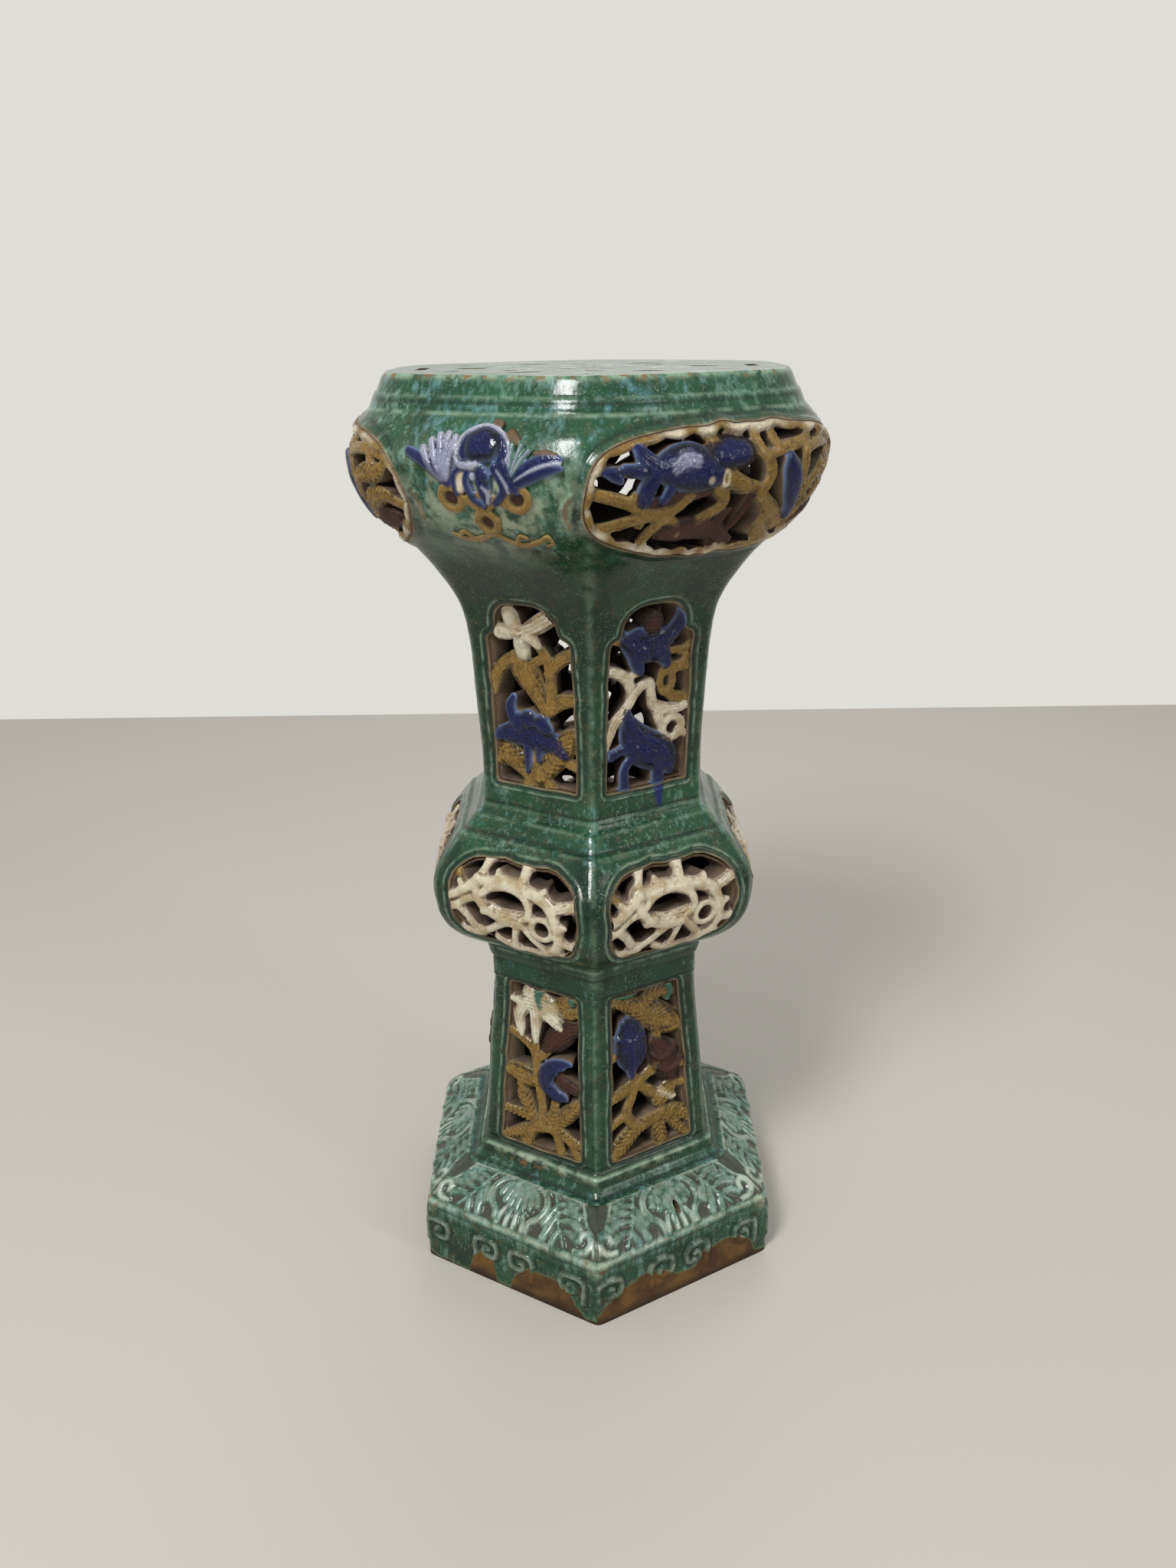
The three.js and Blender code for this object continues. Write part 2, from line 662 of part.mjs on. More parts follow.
// The bowl's ornaments take turns: three cartouches, with a sprig between each two.
function bowl() {
  const tier = new THREE.Group();
  const spacing = (4 * Math.PI) / sides;
  const firstTurn = faceTurn + THREE.MathUtils.degToRad(ornamentTurn);
  const turns = Array.from({ length: sides / 2 }, (_, index) => firstTurn + index * spacing);
  const cutter = prism(cartoucheOutline(), 0, 2 * bowlRadius, 4);
  const wall = turns.reduce(
    (rest, azimuth) => rest.subtract(turned(cutter, azimuth)),
    ringSolid(bowlProfile, 0, bowlWall, softColumns),
  );
  tier.add(named("bowl", wall, glaze.green));
  const depth = cartoucheProud + panelThickness;
  const cartoucheSheet = ringSolid(bowlProfile, -cartoucheProud, depth, softColumns);
  const place = fitTo(drawnCartouche, cartoucheWidth / 2, cartoucheFootMargin, cartoucheHead);
  const proudSheet = ringSolid(bowlProfile, -clearance - sprigProud, sprigProud + bowlWall / 2, softColumns);
  const sprigSheet = proudSheet.subtract(ringSolid(bowlProfile, -clearance, bowlWall, softColumns));
  turns.forEach((azimuth, index) => {
    const sheet = turned(cartoucheSheet, -azimuth);
    const panel = panelSolid(sheet, cartoucheOutline, cartoucheRim, cartoucheDesign(place), 4);
    const cartouche = named(`bowl_cartouche_${index + 1}`, panel, glaze.cream);
    cartouche.rotation.z = azimuth;
    tier.add(cartouche);
    const between = azimuth - spacing / 2;
    const sprig = named(`bowl_sprig_${index + 1}`, sprigSolid(turned(sprigSheet, -between)), glaze.blue);
    sprig.rotation.z = between;
    tier.add(sprig);
  });
  return tier;
}

// An applied sprig: a fruit between two fans of leaves, over a knot of two rings and a scrolled foot.
function sprigSolid(sheet) {
  const at = fitTo(drawnSprig, sprigWidth / 2, sprigFootMargin, sprigHead);
  const leftStem = [at(-66, 110), at(-48, 103), at(-30, 92)];
  const rightStem = [at(28, 92), at(43, 104), at(63, 109)];
  const knot = [at(-36, 82), at(-27, 72), at(-10, 78), at(0, 84), at(10, 78), at(27, 72), at(36, 82)];
  const shapes = [
    disc(...at(1, 116), 18, 10),
    ribbon([...leftStem, at(0, 96), ...rightStem], 9, 6),
    ribbon([at(-42, 112), at(-27, 106), at(0, 98), at(26, 106), at(38, 114)], 22, 4),
    ribbon([at(-17, 100), at(-15, 84)], 14, 1),
    ribbon([at(17, 100), at(15, 84)], 14, 1),
    ribbon(knot, 9, 6),
    ribbon([at(-30, 92), at(-36, 82)], 9, 1),
    ribbon([at(30, 92), at(36, 82)], 9, 1),
    disc(...at(-1, 65), 11, 8),
    ribbon([at(0, 92), at(-1, 52)], 9, 1),
    ribbon([at(-47, 49), at(-20, 50), at(-2, 54), at(20, 50), at(43, 54)], 6, 4),
  ];
  return sheet.intersect(joined(shapes.map((shape) => prism(shape, 0, 2 * bowlRadius))));
}

// The top: a pierced plate with a moulded edge that stands on the rim of the bowl.
function topSlab() {
  const tier = new THREE.Group();
  const skirt = bowlRimRadius - bowlWall / Math.cos(faceTurn);
  const soft = 9;
  const profile = [
    { radius: 0, height: slabHeight - plateThickness, sharpness: soft },
    { radius: skirt, height: slabHeight - plateThickness, sharpness: soft },
    { radius: skirt, height: 0, sharpness: soft },
    { radius: bowlRimRadius, height: 0, sharpness: soft },
    { radius: bowlRimRadius - 2, height: 6, sharpness: soft },
    { radius: bowlRimRadius - slabStep, height: 9, sharpness: soft },
    { radius: slabRadius + 2, height: slabHeight - 2, sharpness: soft },
    { radius: slabRadius, height: slabHeight, sharpness: soft },
    { radius: 0, height: slabHeight, sharpness: soft },
  ];
  let plate = solidFrom(hexLathe(profile, softColumns));
  const pierce = (shape, azimuth) => {
    const geometry = new THREE.ExtrudeGeometry(shape, { depth: 2 * slabHeight, bevelEnabled: false });
    plate = plate.subtract(turned(solidFrom(geometry), azimuth));
  };
  const slotHalf = piercedSlotLength / 2;
  const slotEnd = 3 - piercedSlotRadius;
  const slot = [[-slotHalf, slotEnd], [0, -3 - piercedSlotRadius], [slotHalf, slotEnd]];
  for (const azimuth of faces) {
    const corner = azimuth + faceTurn;
    pierce(disc(0, -piercedRingRadius, piercedHoleRadius, 8), azimuth);
    pierce(ribbon(slot, piercedSlotWidth, 4), azimuth);
    pierce(disc(0, -piercedHubRadius, piercedBeadHoleRadius, 6), azimuth);
    pierce(leaf(0, -piercedLeafRadius, piercedLeafLength, piercedLeafWidth, 0.5 - Math.PI / 2), corner);
    pierce(disc(0, -piercedBeadRadius, piercedBeadHoleRadius, 6), corner);
  }
  tier.add(named("top_slab", plate, glaze.green));
  return tier;
}

const stand = new THREE.Group();
const tiers = [
  [plinth(), plinthHeight],
  [baseTorus(), torusHeight],
  [lowerColumn(), lowerColumnHeight],
  [waistCollar(), collarHeight],
  [knop(), knopHeight],
  [upperColumn(), upperColumnHeight],
  [bowl(), bowlHeight],
  [topSlab(), slabHeight],
];
let height = 0;
for (const [tier, tall] of tiers) {
  tier.position.z = height;
  stand.add(tier);
  height += tall;
}

export default stand;
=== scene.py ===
# A hexagonal openwork stand in glazed stoneware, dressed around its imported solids.
# Shapes are worked out in millimetres on the stand's own skin and turned into metres at the end.
import math
import bpy
import numpy as np
from mathutils import Matrix, Vector


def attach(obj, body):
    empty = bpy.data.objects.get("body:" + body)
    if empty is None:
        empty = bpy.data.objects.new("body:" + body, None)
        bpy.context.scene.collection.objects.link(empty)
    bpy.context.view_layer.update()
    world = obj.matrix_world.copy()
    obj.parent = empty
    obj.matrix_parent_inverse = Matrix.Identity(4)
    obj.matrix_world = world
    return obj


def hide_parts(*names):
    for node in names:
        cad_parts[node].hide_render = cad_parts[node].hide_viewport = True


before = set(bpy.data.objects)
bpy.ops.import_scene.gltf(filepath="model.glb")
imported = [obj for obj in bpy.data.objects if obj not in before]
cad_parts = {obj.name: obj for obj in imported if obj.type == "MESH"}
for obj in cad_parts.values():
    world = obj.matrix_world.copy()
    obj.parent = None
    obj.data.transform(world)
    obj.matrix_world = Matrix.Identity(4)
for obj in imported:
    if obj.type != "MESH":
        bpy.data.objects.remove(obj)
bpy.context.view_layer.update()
scene = bpy.context.scene

photoHeight = 2048  # pixels
millimetre = 0.001
sixth = math.pi / 3
faceTurn = math.pi / 6

cameraSetup = {
    "focalPixels": 1580.0,  # the photo's focal length, read from the stand's rims
    "distance": 1.0151,
    "height": 0.8355,
    "pitch": 21.06,  # degrees down
    "pan": -0.19,
    "roll": -0.78,
    "sensor": 36.0,
}

studio = {
    "floor": "#C9C4BB",
    "floorRoughness": 0.7,
    "floorReach": 15.0,
    "wallAt": 1.61,
    "backdrop": "#DFDDD7",
    "worldStrength": 0.45,
    "lamps": {  # place, target and size in metres, and power
        "keyLamp": ((-0.9, -1.7, 2.7), (0, 0, 0.45), (0.6, 0.95), 60.0),
        "fillLamp": ((1.9, -1.4, 1.3), (0, 0, 0.4), (0.3, 1.5), 9.0),
        "rimLamp": ((0.4, 1.8, 2.0), (0, 0, 0.5), (1.4, 1.4), 9.0),
    },
}


# A hex colour from sRGB to linear RGBA.
def linear(colour):
    parts = [int(colour[i:i + 2], 16) / 255 for i in (1, 3, 5)]
    return tuple(c / 12.92 if c <= 0.04045 else ((c + 0.055) / 1.055) ** 2.4 for c in parts) + (1.0,)


# One node with its settings and its incoming links, {socket: output socket or value}.
def addNode(tree, kind, settings=None, links=None):
    node = tree.nodes.new(kind)
    for name, value in (settings or {}).items():
        setattr(node, name, value)
    for name, source in (links or {}).items():
        if isinstance(source, bpy.types.NodeSocket):
            tree.links.new(source, node.inputs[name])
        else:
            node.inputs[name].default_value = source
    return node


# The camera looks along the photo's fitted direction and is rolled as the photo is.
def makeCamera(setup):
    pitch, pan, roll = (math.radians(setup[k]) for k in ("pitch", "pan", "roll"))
    forward = Vector((math.sin(pan) * math.cos(pitch), math.cos(pan) * math.cos(pitch), -math.sin(pitch)))
    right = Vector((math.cos(pan), -math.sin(pan), 0.0))
    up = right.cross(forward)
    rolledRight = math.cos(roll) * right + math.sin(roll) * up
    rolledUp = math.cos(roll) * up - math.sin(roll) * right
    data = bpy.data.cameras.new("photoCamera")
    data.sensor_width = setup["sensor"]
    data.lens = setup["focalPixels"] / photoHeight * setup["sensor"]
    camera = bpy.data.objects.new("photoCamera", data)
    scene.collection.objects.link(camera)
    turn = Matrix((rolledRight, rolledUp, -forward)).transposed()
    camera.matrix_world = Matrix.Translation((0.0, -setup["distance"], setup["height"])) @ turn.to_4x4()
    scene.camera = camera


def makeLamp(name, place, target, size, power):
    data = bpy.data.lights.new(name, "AREA")
    data.shape = "RECTANGLE"
    data.size, data.size_y = size
    data.energy = power
    lamp = bpy.data.objects.new(name, data)
    lamp.location = place
    lamp.rotation_euler = (Vector(target) - Vector(place)).to_track_quat("-Z", "Y").to_euler()
    scene.collection.objects.link(lamp)


# A pale floor that keeps the shadow, three soft lamps and a pale world.
def makeStudio(setup):
    reach, wall = setup["floorReach"], setup["wallAt"]
    floorMesh = bpy.data.meshes.new("floor")
    floorMesh.from_pydata([(-reach, -reach, 0), (reach, -reach, 0), (reach, wall, 0), (-reach, wall, 0)], [],
                          [(0, 1, 2, 3)])
    floor = bpy.data.objects.new("floor", floorMesh)
    scene.collection.objects.link(floor)
    material = bpy.data.materials.new("paleFloor")
    material.use_nodes = True
    shader = material.node_tree.nodes["Principled BSDF"]
    shader.inputs["Base Color"].default_value = linear(setup["floor"])
    shader.inputs["Roughness"].default_value = setup["floorRoughness"]
    floorMesh.materials.append(material)
    for name, (place, target, size, power) in setup["lamps"].items():
        makeLamp(name, place, target, size, power)
    world = bpy.data.worlds.new("softRoom")
    world.use_nodes = True
    scene.world = world
    tree = world.node_tree
    tree.nodes.clear()
    path = addNode(tree, "ShaderNodeLightPath")
    seen = addNode(tree, "ShaderNodeMath", {"operation": "MAXIMUM"},
                   {0: path.outputs["Is Camera Ray"], 1: path.outputs["Is Transmission Ray"]})
    glossy = addNode(tree, "ShaderNodeMath", {"operation": "MAXIMUM"},
                     {0: seen.outputs[0], 1: path.outputs["Is Glossy Ray"]})
    lit = addNode(tree, "ShaderNodeBackground", None,
                  {"Color": (1, 1, 1, 1), "Strength": setup["worldStrength"]})
    shown = addNode(tree, "ShaderNodeBackground", None, {"Color": linear(setup["backdrop"]), "Strength": 1.0})
    mix = addNode(tree, "ShaderNodeMixShader", None,
                  {0: glossy.outputs[0], 1: lit.outputs[0], 2: shown.outputs[0]})
    addNode(tree, "ShaderNodeOutputWorld", None, {"Surface": mix.outputs[0]})
    scene.view_settings.view_transform = "Standard"


# The stand's skin: height, radius to the corner, and how sharp the hexagon is there.
skinStations = np.array([
    (0, 184.6, 90), (47, 184.6, 90), (49, 182.6, 90), (61, 184, 90), (66, 181, 90), (78, 165, 90),
    (90, 143, 90), (95, 132, 90), (100, 127, 80), (107, 125, 80), (112, 119, 70), (200, 111, 60),
    (280, 103.4, 60), (282, 104.5, 60), (300, 104.5, 60), (303, 106, 60), (313, 108.5, 60),
    (316, 108, 60), (320, 116, 50), (330, 133, 45), (345, 147, 40), (360, 153.5, 40), (380, 156, 40),
    (395, 153, 40), (412, 142, 40), (426, 130, 40), (428, 127, 40), (442, 112, 40), (444, 109, 50),
    (449, 106, 50), (480, 104.5, 50), (540, 107, 45), (580, 110, 40), (617, 117, 32), (632, 123.5, 28),
    (649, 134.5, 22), (664, 146, 17), (675, 157, 13), (686, 170, 11), (698, 182, 10), (712, 191, 9.5),
    (728, 197, 9), (742, 198.5, 9), (758, 193, 9), (770, 184, 9), (777, 178, 9), (783, 176, 9),
    (786, 173, 9), (798, 167, 9), (800, 165, 9),
])
standTop = 800


# A curve through stations whose slope is the harmonic mean of its neighbours', so it never overshoots.
def smoothThrough(places, values, at):
    steps = np.diff(places)
    rises = np.diff(values) / steps
    slopes = np.zeros_like(values)
    before, after = rises[:-1], rises[1:]
    alike = before * after > 0
    slopes[1:-1][alike] = 2 * before[alike] * after[alike] / (before[alike] + after[alike])
    slopes[0], slopes[-1] = rises[0], rises[-1]
    index = np.clip(np.searchsorted(places, at) - 1, 0, len(steps) - 1)
    t = (at - places[index]) / steps[index]
    return ((1 + 2 * t) * (1 - t) ** 2 * values[index] + t * (1 - t) ** 2 * steps[index] * slopes[index]
            + t * t * (3 - 2 * t) * values[index + 1] + t * t * (t - 1) * steps[index] * slopes[index + 1])


def cornerRadius(up):
    return smoothThrough(skinStations[:, 0], skinStations[:, 1], np.clip(up, 0, standTop))


def sharpness(up):
    return np.exp(np.interp(up, skinStations[:, 0], np.log(skinStations[:, 2])))


# A soft hexagon: the p-norm of the distances to its six sides, as a share of the corner radius.
def planShare(azimuth, sharp):
    def reach(angle):
        total = sum(np.maximum(0.0, np.cos(angle - side * sixth)) ** sharp for side in range(6))
        return total ** (-1 / sharp)
    return reach(azimuth - faceTurn) / reach(np.full_like(azimuth, faceTurn))


# A point of the skin: azimuth 0 is the corner towards -Y, and +X is at azimuth 90 degrees.
def skinPoint(azimuth, up, inset=0.0):
    radius = (cornerRadius(up) - inset / math.cos(faceTurn)) * planShare(azimuth, sharpness(up))
    return np.stack([radius * np.sin(azimuth), -radius * np.cos(azimuth), up + 0 * azimuth], -1)


# The outward direction there, square to both of the skin's parameters.
def skinNormal(azimuth, up, turn=0.003, rise=0.4):
    low, high = np.maximum(up - rise, 0), np.minimum(up + rise, standTop)
    around = skinPoint(azimuth + turn, up) - skinPoint(azimuth - turn, up)
    upward = skinPoint(azimuth, high) - skinPoint(azimuth, low)
    normal = np.cross(around, upward)
    return normal / np.linalg.norm(normal, axis=-1, keepdims=True)


wobble = {
    "waves": ((0.35, 3, 31), (0.3, 9, -17)),  # reach, waves in a turn, and millimetres up for a radian
    "grows": (4, 20),  # the height where it starts, and over how many millimetres
    "fades": (700, 60),
}


# Thumbed clay is never quite true: two slow waves, the same every third of the way round.
def handWobble(azimuth, up):
    waves = sum(reach * np.sin(count * azimuth + up / drift) for reach, count, drift in wobble["waves"])
    (foot, footSpan), (head, headSpan) = wobble["grows"], wobble["fades"]
    return waves * np.clip((up - foot) / footSpan, 0, 1) * np.clip((head - up) / headSpan, 0, 1)


# The skin lifted by a relief height along its own normal.
def reliefPoint(azimuth, up, height):
    lift = height + handWobble(azimuth, up)
    return skinPoint(azimuth, up) + skinNormal(azimuth, up) * lift[..., None]


def apothem(up):
    return cornerRadius(up) * math.cos(faceTurn)


# One quad sheet in front and one behind, with walls along every open edge: a closed shell of clay.
# keep marks the cells that stay; the grid wraps round where closedAround is set.
def shellFaces(keep, columns, rows, closedAround):
    across, upward = np.nonzero(keep)
    right = (across + 1) % columns if closedAround else across + 1
    quads = np.stack([across * rows + upward, right * rows + upward,
                      right * rows + upward + 1, across * rows + upward + 1], -1)
    back = quads[:, ::-1] + columns * rows
    edges = np.concatenate([quads[:, [i, (i + 1) % 4]] for i in range(4)])
    low, high = edges.min(1), edges.max(1)
    key = low * (columns * rows) + high
    order, counts = np.unique(key, return_counts=True)
    alone = edges[np.isin(key, order[counts == 1])]
    first, second = alone[:, 0], alone[:, 1]
    return quads, back, np.stack([second, first, first + columns * rows, second + columns * rows], -1)


# Cells that touch only at a corner would pinch the shell, so the two beside them are kept too.
def fillPinches(keep, closedAround):
    for _ in range(3):
        grown = np.concatenate([keep, keep[:1]]) if closedAround else keep
        a, b, c, d = grown[:-1, :-1], grown[1:, :-1], grown[1:, 1:], grown[:-1, 1:]
        pinch = (a & c & ~b & ~d) | (b & d & ~a & ~c)
        if not pinch.any():
            break
        where, height = np.nonzero(pinch)
        for shift in (0, 1):
            keep[(where + shift) % keep.shape[0], height] = True
            keep[(where + shift) % keep.shape[0], height + 1] = True
    return keep


# Spreads from the cells that are surely held until nothing more is reached, and drops the rest.
def dropLoose(keep, held):
    reached = keep & held
    while True:
        grown = reached.copy()
        grown[1:] |= reached[:-1]
        grown[:-1] |= reached[1:]
        grown[:, 1:] |= reached[:, :-1]
        grown[:, :-1] |= reached[:, 1:]
        grown &= keep
        if (grown == reached).all():
            return reached
        reached = grown


# Slides the vertices next to a cut onto the line where the field is nought, so cuts run smooth.
def slideToCut(across, up, field, keep, reach, step=0.2):
    kept = np.zeros(across.shape, int)
    seen = np.zeros(across.shape, int)
    columns = across.shape[0]
    for right in (0, 1):
        for above in (0, 1):
            index = (np.arange(keep.shape[0]) + right) % columns
            rows = slice(above, above + keep.shape[1])
            np.add.at(kept, (index[:, None], np.arange(across.shape[1])[rows][None]), keep.astype(int))
            np.add.at(seen, (index[:, None], np.arange(across.shape[1])[rows][None]), 1)
    border = (kept > 0) & (kept < seen)
    for _ in range(2):
        a, u = across[border], up[border]
        value = field(a, u)
        slopeAcross = (field(a + step, u) - field(a - step, u)) / (2 * step)
        slopeUp = (field(a, u + step) - field(a, u - step)) / (2 * step)
        steep = np.maximum(slopeAcross ** 2 + slopeUp ** 2, 0.05)
        across[border] = a - np.clip(value * slopeAcross / steep, -reach, reach)
        up[border] = u - np.clip(value * slopeUp / steep, -reach, reach)


# The first and last row of a ring meet the next tier, so they shade crisp and the joint doesn't show.
def markRims(mesh, used, columns, rows):
    ends = np.empty(len(mesh.edges) * 2, np.int32)
    mesh.edges.foreach_get("vertices", ends)
    ends = used[ends.reshape(-1, 2)]
    row = ends % rows
    onFront = (ends < columns * rows).all(1)
    atRim = onFront & ((row == 0).all(1) | (row == rows - 1).all(1))
    mesh.attributes.new("sharp_edge", "BOOLEAN", "EDGE").data.foreach_set("value", atRim)


# Turns grids of front and back points, in millimetres, into an object with its attributes.
def makeShell(name, front, back, keep, closedAround, attributes, materials, third=0):
    columns, rows = front.shape[:2]
    quads, behind, sides = shellFaces(keep, columns, rows, closedAround)
    faces = np.concatenate([quads, behind, sides])
    points = np.concatenate([front.reshape(-1, 3), back.reshape(-1, 3)]) * millimetre
    clayFaces = np.arange(len(faces)) >= len(quads)
    row = sides[:, :2] % rows
    clayFaces[len(faces) - len(sides):] = ~((row == 0).all(1) | (row == rows - 1).all(1)) | (not closedAround)
    turn = third * 2 * sixth
    turned = np.array([[math.cos(turn), math.sin(turn)], [-math.sin(turn), math.cos(turn)]])
    points[:, :2] = points[:, :2] @ turned
    used, faces = np.unique(faces, return_inverse=True)
    faces = faces.reshape(-1, 4)
    mesh = bpy.data.meshes.new(name)
    mesh.vertices.add(len(used))
    mesh.vertices.foreach_set("co", points[used].ravel())
    mesh.loops.add(faces.size)
    mesh.loops.foreach_set("vertex_index", faces.ravel().astype(np.int32))
    mesh.polygons.add(len(faces))
    mesh.polygons.foreach_set("loop_start", np.arange(0, faces.size, 4, dtype=np.int32))
    mesh.polygons.foreach_set("use_smooth", np.arange(len(faces)) < len(quads))
    mesh.polygons.foreach_set("material_index", clayFaces.astype(np.int32))
    mesh.update(calc_edges=True)
    mesh.validate()
    if closedAround:
        markRims(mesh, used, columns, rows)
    values = {label: np.concatenate([grid.ravel(), grid.ravel()])[used] for label, grid in attributes.items()}
    values["inward"] = used >= columns * rows  # 1 on the inner wall
    for label, value in values.items():
        mesh.attributes.new(label, "FLOAT", "POINT").data.foreach_set("value", value.astype(np.float32))
    for material in materials:
        mesh.materials.append(material)
    piece = bpy.data.objects.new(name, mesh)
    scene.collection.objects.link(piece)
    return piece


def dress(piece, node):
    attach(piece, "root")
    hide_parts(node)


# A smooth path through its points, or a straight one where bends is 1.
def smoothPath(points, bends=5):
    points = np.array(points, float)
    if len(points) < 3 or bends == 1:
        return points
    closed = np.allclose(points[0, :2], points[-1, :2])
    before = points[-2] if closed else 2 * points[0] - points[1]
    after = points[1] if closed else 2 * points[-1] - points[-2]
    p = np.vstack([before, points, after])
    t = np.linspace(0, 1, bends, endpoint=False)[:, None]
    runs = []
    for a, b, c, d in zip(p[:-3], p[1:-2], p[2:-1], p[3:]):
        square, cube = 2 * a - 5 * b + 4 * c - d, 3 * b - a - 3 * c + d
        runs.append(0.5 * (2 * b + (c - a) * t + square * t ** 2 + cube * t ** 3))
    return np.vstack(runs + [points[-1:]])


# How deep each place lies inside a stroke, with its place along and across the stroke.
# Depth is half the stroke's width less the distance to its path; the nearest run of the path counts.
def strokeField(across, up, points, bends=5):
    path = smoothPath(points, bends)
    if len(path) == 1:
        path = np.vstack([path, path + (0.01, 0, 0)])
    depth = np.full(across.shape, -1e3)
    along, aside, half = np.zeros((3,) + across.shape)
    travelled = 0.0
    for (x0, y0, w0), (x1, y1, w1) in zip(path[:-1], path[1:]):
        length = max(math.hypot(x1 - x0, y1 - y0), 1e-6)
        t = np.clip(((across - x0) * (x1 - x0) + (up - y0) * (y1 - y0)) / length ** 2, 0, 1)
        offX, offY = across - x0 - t * (x1 - x0), up - y0 - t * (y1 - y0)
        halfWidth = 0.5 * (w0 + t * (w1 - w0))
        inside = halfWidth - np.hypot(offX, offY)
        better = inside > depth
        depth = np.where(better, inside, depth)
        along = np.where(better, travelled + t * length, along)
        aside = np.where(better, ((x1 - x0) * offY - (y1 - y0) * offX) / length, aside)
        half = np.where(better, halfWidth, half)
        travelled += length
    return depth, along, aside, half


carving = {
    "domeShare": 0.45,
    "veinSpacing": 5.0,
    "veinDepth": 0.8,
    "veinSlant": 0.9,
    "veinFreeCrown": 0.12,
    "midribDepth": 0.7,
    "midribWidth": 0.7,
    "fluteSpacing": 3.4,
    "fluteDepth": 0.55,
    "barkSpacing": 2.8,
    "barkDepth": 0.5,
    "barkWander": ((0.5, 3.1), (0.3, 1.3)),  # reach aside, and millimetres along for a radian
    "hatchSpacing": 2.6,
    "hatchRidges": 5.0,
    "ridgeDepth": 0.4,
    "sideSlope": 2.5,  # millimetres down for each millimetre outside a stroke
    "blend": 0.35,
    "fillet": 0.5,
    "hollowFrom": 0.2,
    "hollowSpan": 1.4,
}


# A cosine ripple that repeats every so many millimetres.
def ripple(distance, spacing):
    return np.cos(2 * math.pi * distance / spacing)


# The height of a stroke's surface: a dome across its width, with the marks of the tool on it.
def strokeHeight(field, top, grain, domeLimit):
    depth, along, aside, half = field
    share = np.clip(1 - depth / np.maximum(half, 0.1), 0, 1)
    dome = np.minimum(carving["domeShare"] * half, domeLimit)
    height = top - dome * (1 - np.sqrt(np.maximum(1 - share ** 2, 0)))
    if grain == "vein":
        slanted = ripple(along - carving["veinSlant"] * np.abs(aside), carving["veinSpacing"])
        midrib = carving["midribDepth"] * np.exp(-(aside / carving["midribWidth"]) ** 2)
        height += carving["veinDepth"] * slanted * (share > carving["veinFreeCrown"]) - midrib
    elif grain == "flute":
        height += carving["fluteDepth"] * ripple(aside, carving["fluteSpacing"])
    elif grain == "bark":
        wander = aside
        for reach, spacing in carving["barkWander"]:
            wander = wander + reach * np.sin(along / spacing)
        height += carving["barkDepth"] * ripple(wander, carving["barkSpacing"])
    elif grain == "hatch":
        ridges = ripple(aside, carving["hatchRidges"])
        crossed = ripple(along, carving["hatchSpacing"]) * ridges
        height += carving["barkDepth"] * crossed + carving["ridgeDepth"] * ridges
    return np.where(depth < 0, top - dome + carving["sideSlope"] * depth, height)


# Colours of the brushed glazes: pooled, open and thin tone, and how far the thin one shows at edges.
glazeTones = {
    "ochre": ("#2A1B07", "#82642B", "#CDB377", 0.4),
    "cream": ("#694D2A", "#CFC7AC", "#F0ECDE", 0.35),
    "white": ("#7A7050", "#D3CFB8", "#F1EEE2", 0.35),
    "pearl": ("#10183F", "#8A8DA3", "#E8E8EA", 0.5),
    "blue": ("#01020A", "#060D44", "#7E92BC", 0.7),
    "brown": ("#120706", "#3D1F17", "#62453A", 0.25),
    "green": ("#0A2A1C", "#285A46", "#7AA690", 0.4),
    "clay": ("#33271E", "#5E4A34", "#7E6A4E", 0.2),
}


# All strokes of a design together: its height, how deep inside the clay, and the share of each glaze.
# spread widens every stroke a little, as the glaze does, and soft webs the places where they meet.
def carve(across, up, strokes, domeLimit=4.0, spread=0.0, soft=1.0):
    blend, fillet = soft * carving["blend"], soft * carving["fillet"]
    weights = {paint: np.full(across.shape, 1e-9) for paint in glazeTones}
    highest = np.full(across.shape, -60.0)
    parts = []
    for paint, grain, top, points in strokes:
        field = strokeField(across, up, [(x, y, width + spread) for x, y, width in points])
        height = strokeHeight(field, top, grain, domeLimit)
        parts.append((paint, height, field[0], top))
        highest = np.maximum(highest, height)
    inside, crown = np.zeros(across.shape), np.zeros(across.shape)
    for paint, height, depth, top in parts:
        weight = np.exp(np.maximum(height - highest, -60) / blend)
        weights[paint] += weight
        crown += weight * top
        inside += np.exp(np.clip(depth, -40, 30) / fillet)
    total = sum(weights.values())
    shares = {paint: weight / total for paint, weight in weights.items()}
    sunk = crown / total - highest - carving["hollowFrom"]
    shares["hollow"] = np.clip(sunk / carving["hollowSpan"], 0, 1)
    return highest + blend * np.log(total), fillet * np.log(np.maximum(inside, 1e-30)), shares


# Signed distance to a closed outline, positive inside it, and the place along it.
def outlineField(across, up, outline):
    closed = np.vstack([outline, outline[:1]])
    nearest = np.full(across.shape, 1e9)
    place = np.zeros(across.shape)
    inside = np.zeros(across.shape, bool)
    travelled = 0.0
    for (x0, y0), (x1, y1) in zip(closed[:-1], closed[1:]):
        length = math.hypot(x1 - x0, y1 - y0)
        if length < 1e-9:
            continue
        t = np.clip(((across - x0) * (x1 - x0) + (up - y0) * (y1 - y0)) / length ** 2, 0, 1)
        distance = np.hypot(across - x0 - t * (x1 - x0), up - y0 - t * (y1 - y0))
        closer = distance < nearest
        nearest = np.where(closer, distance, nearest)
        place = np.where(closer, travelled + t * length, place)
        if y0 != y1:
            crosses = (up > min(y0, y1)) & (up <= max(y0, y1))
            inside ^= crosses & (across < x0 + (up - y0) * (x1 - x0) / (y1 - y0))
        travelled += length
    return np.where(inside, nearest, -nearest), place


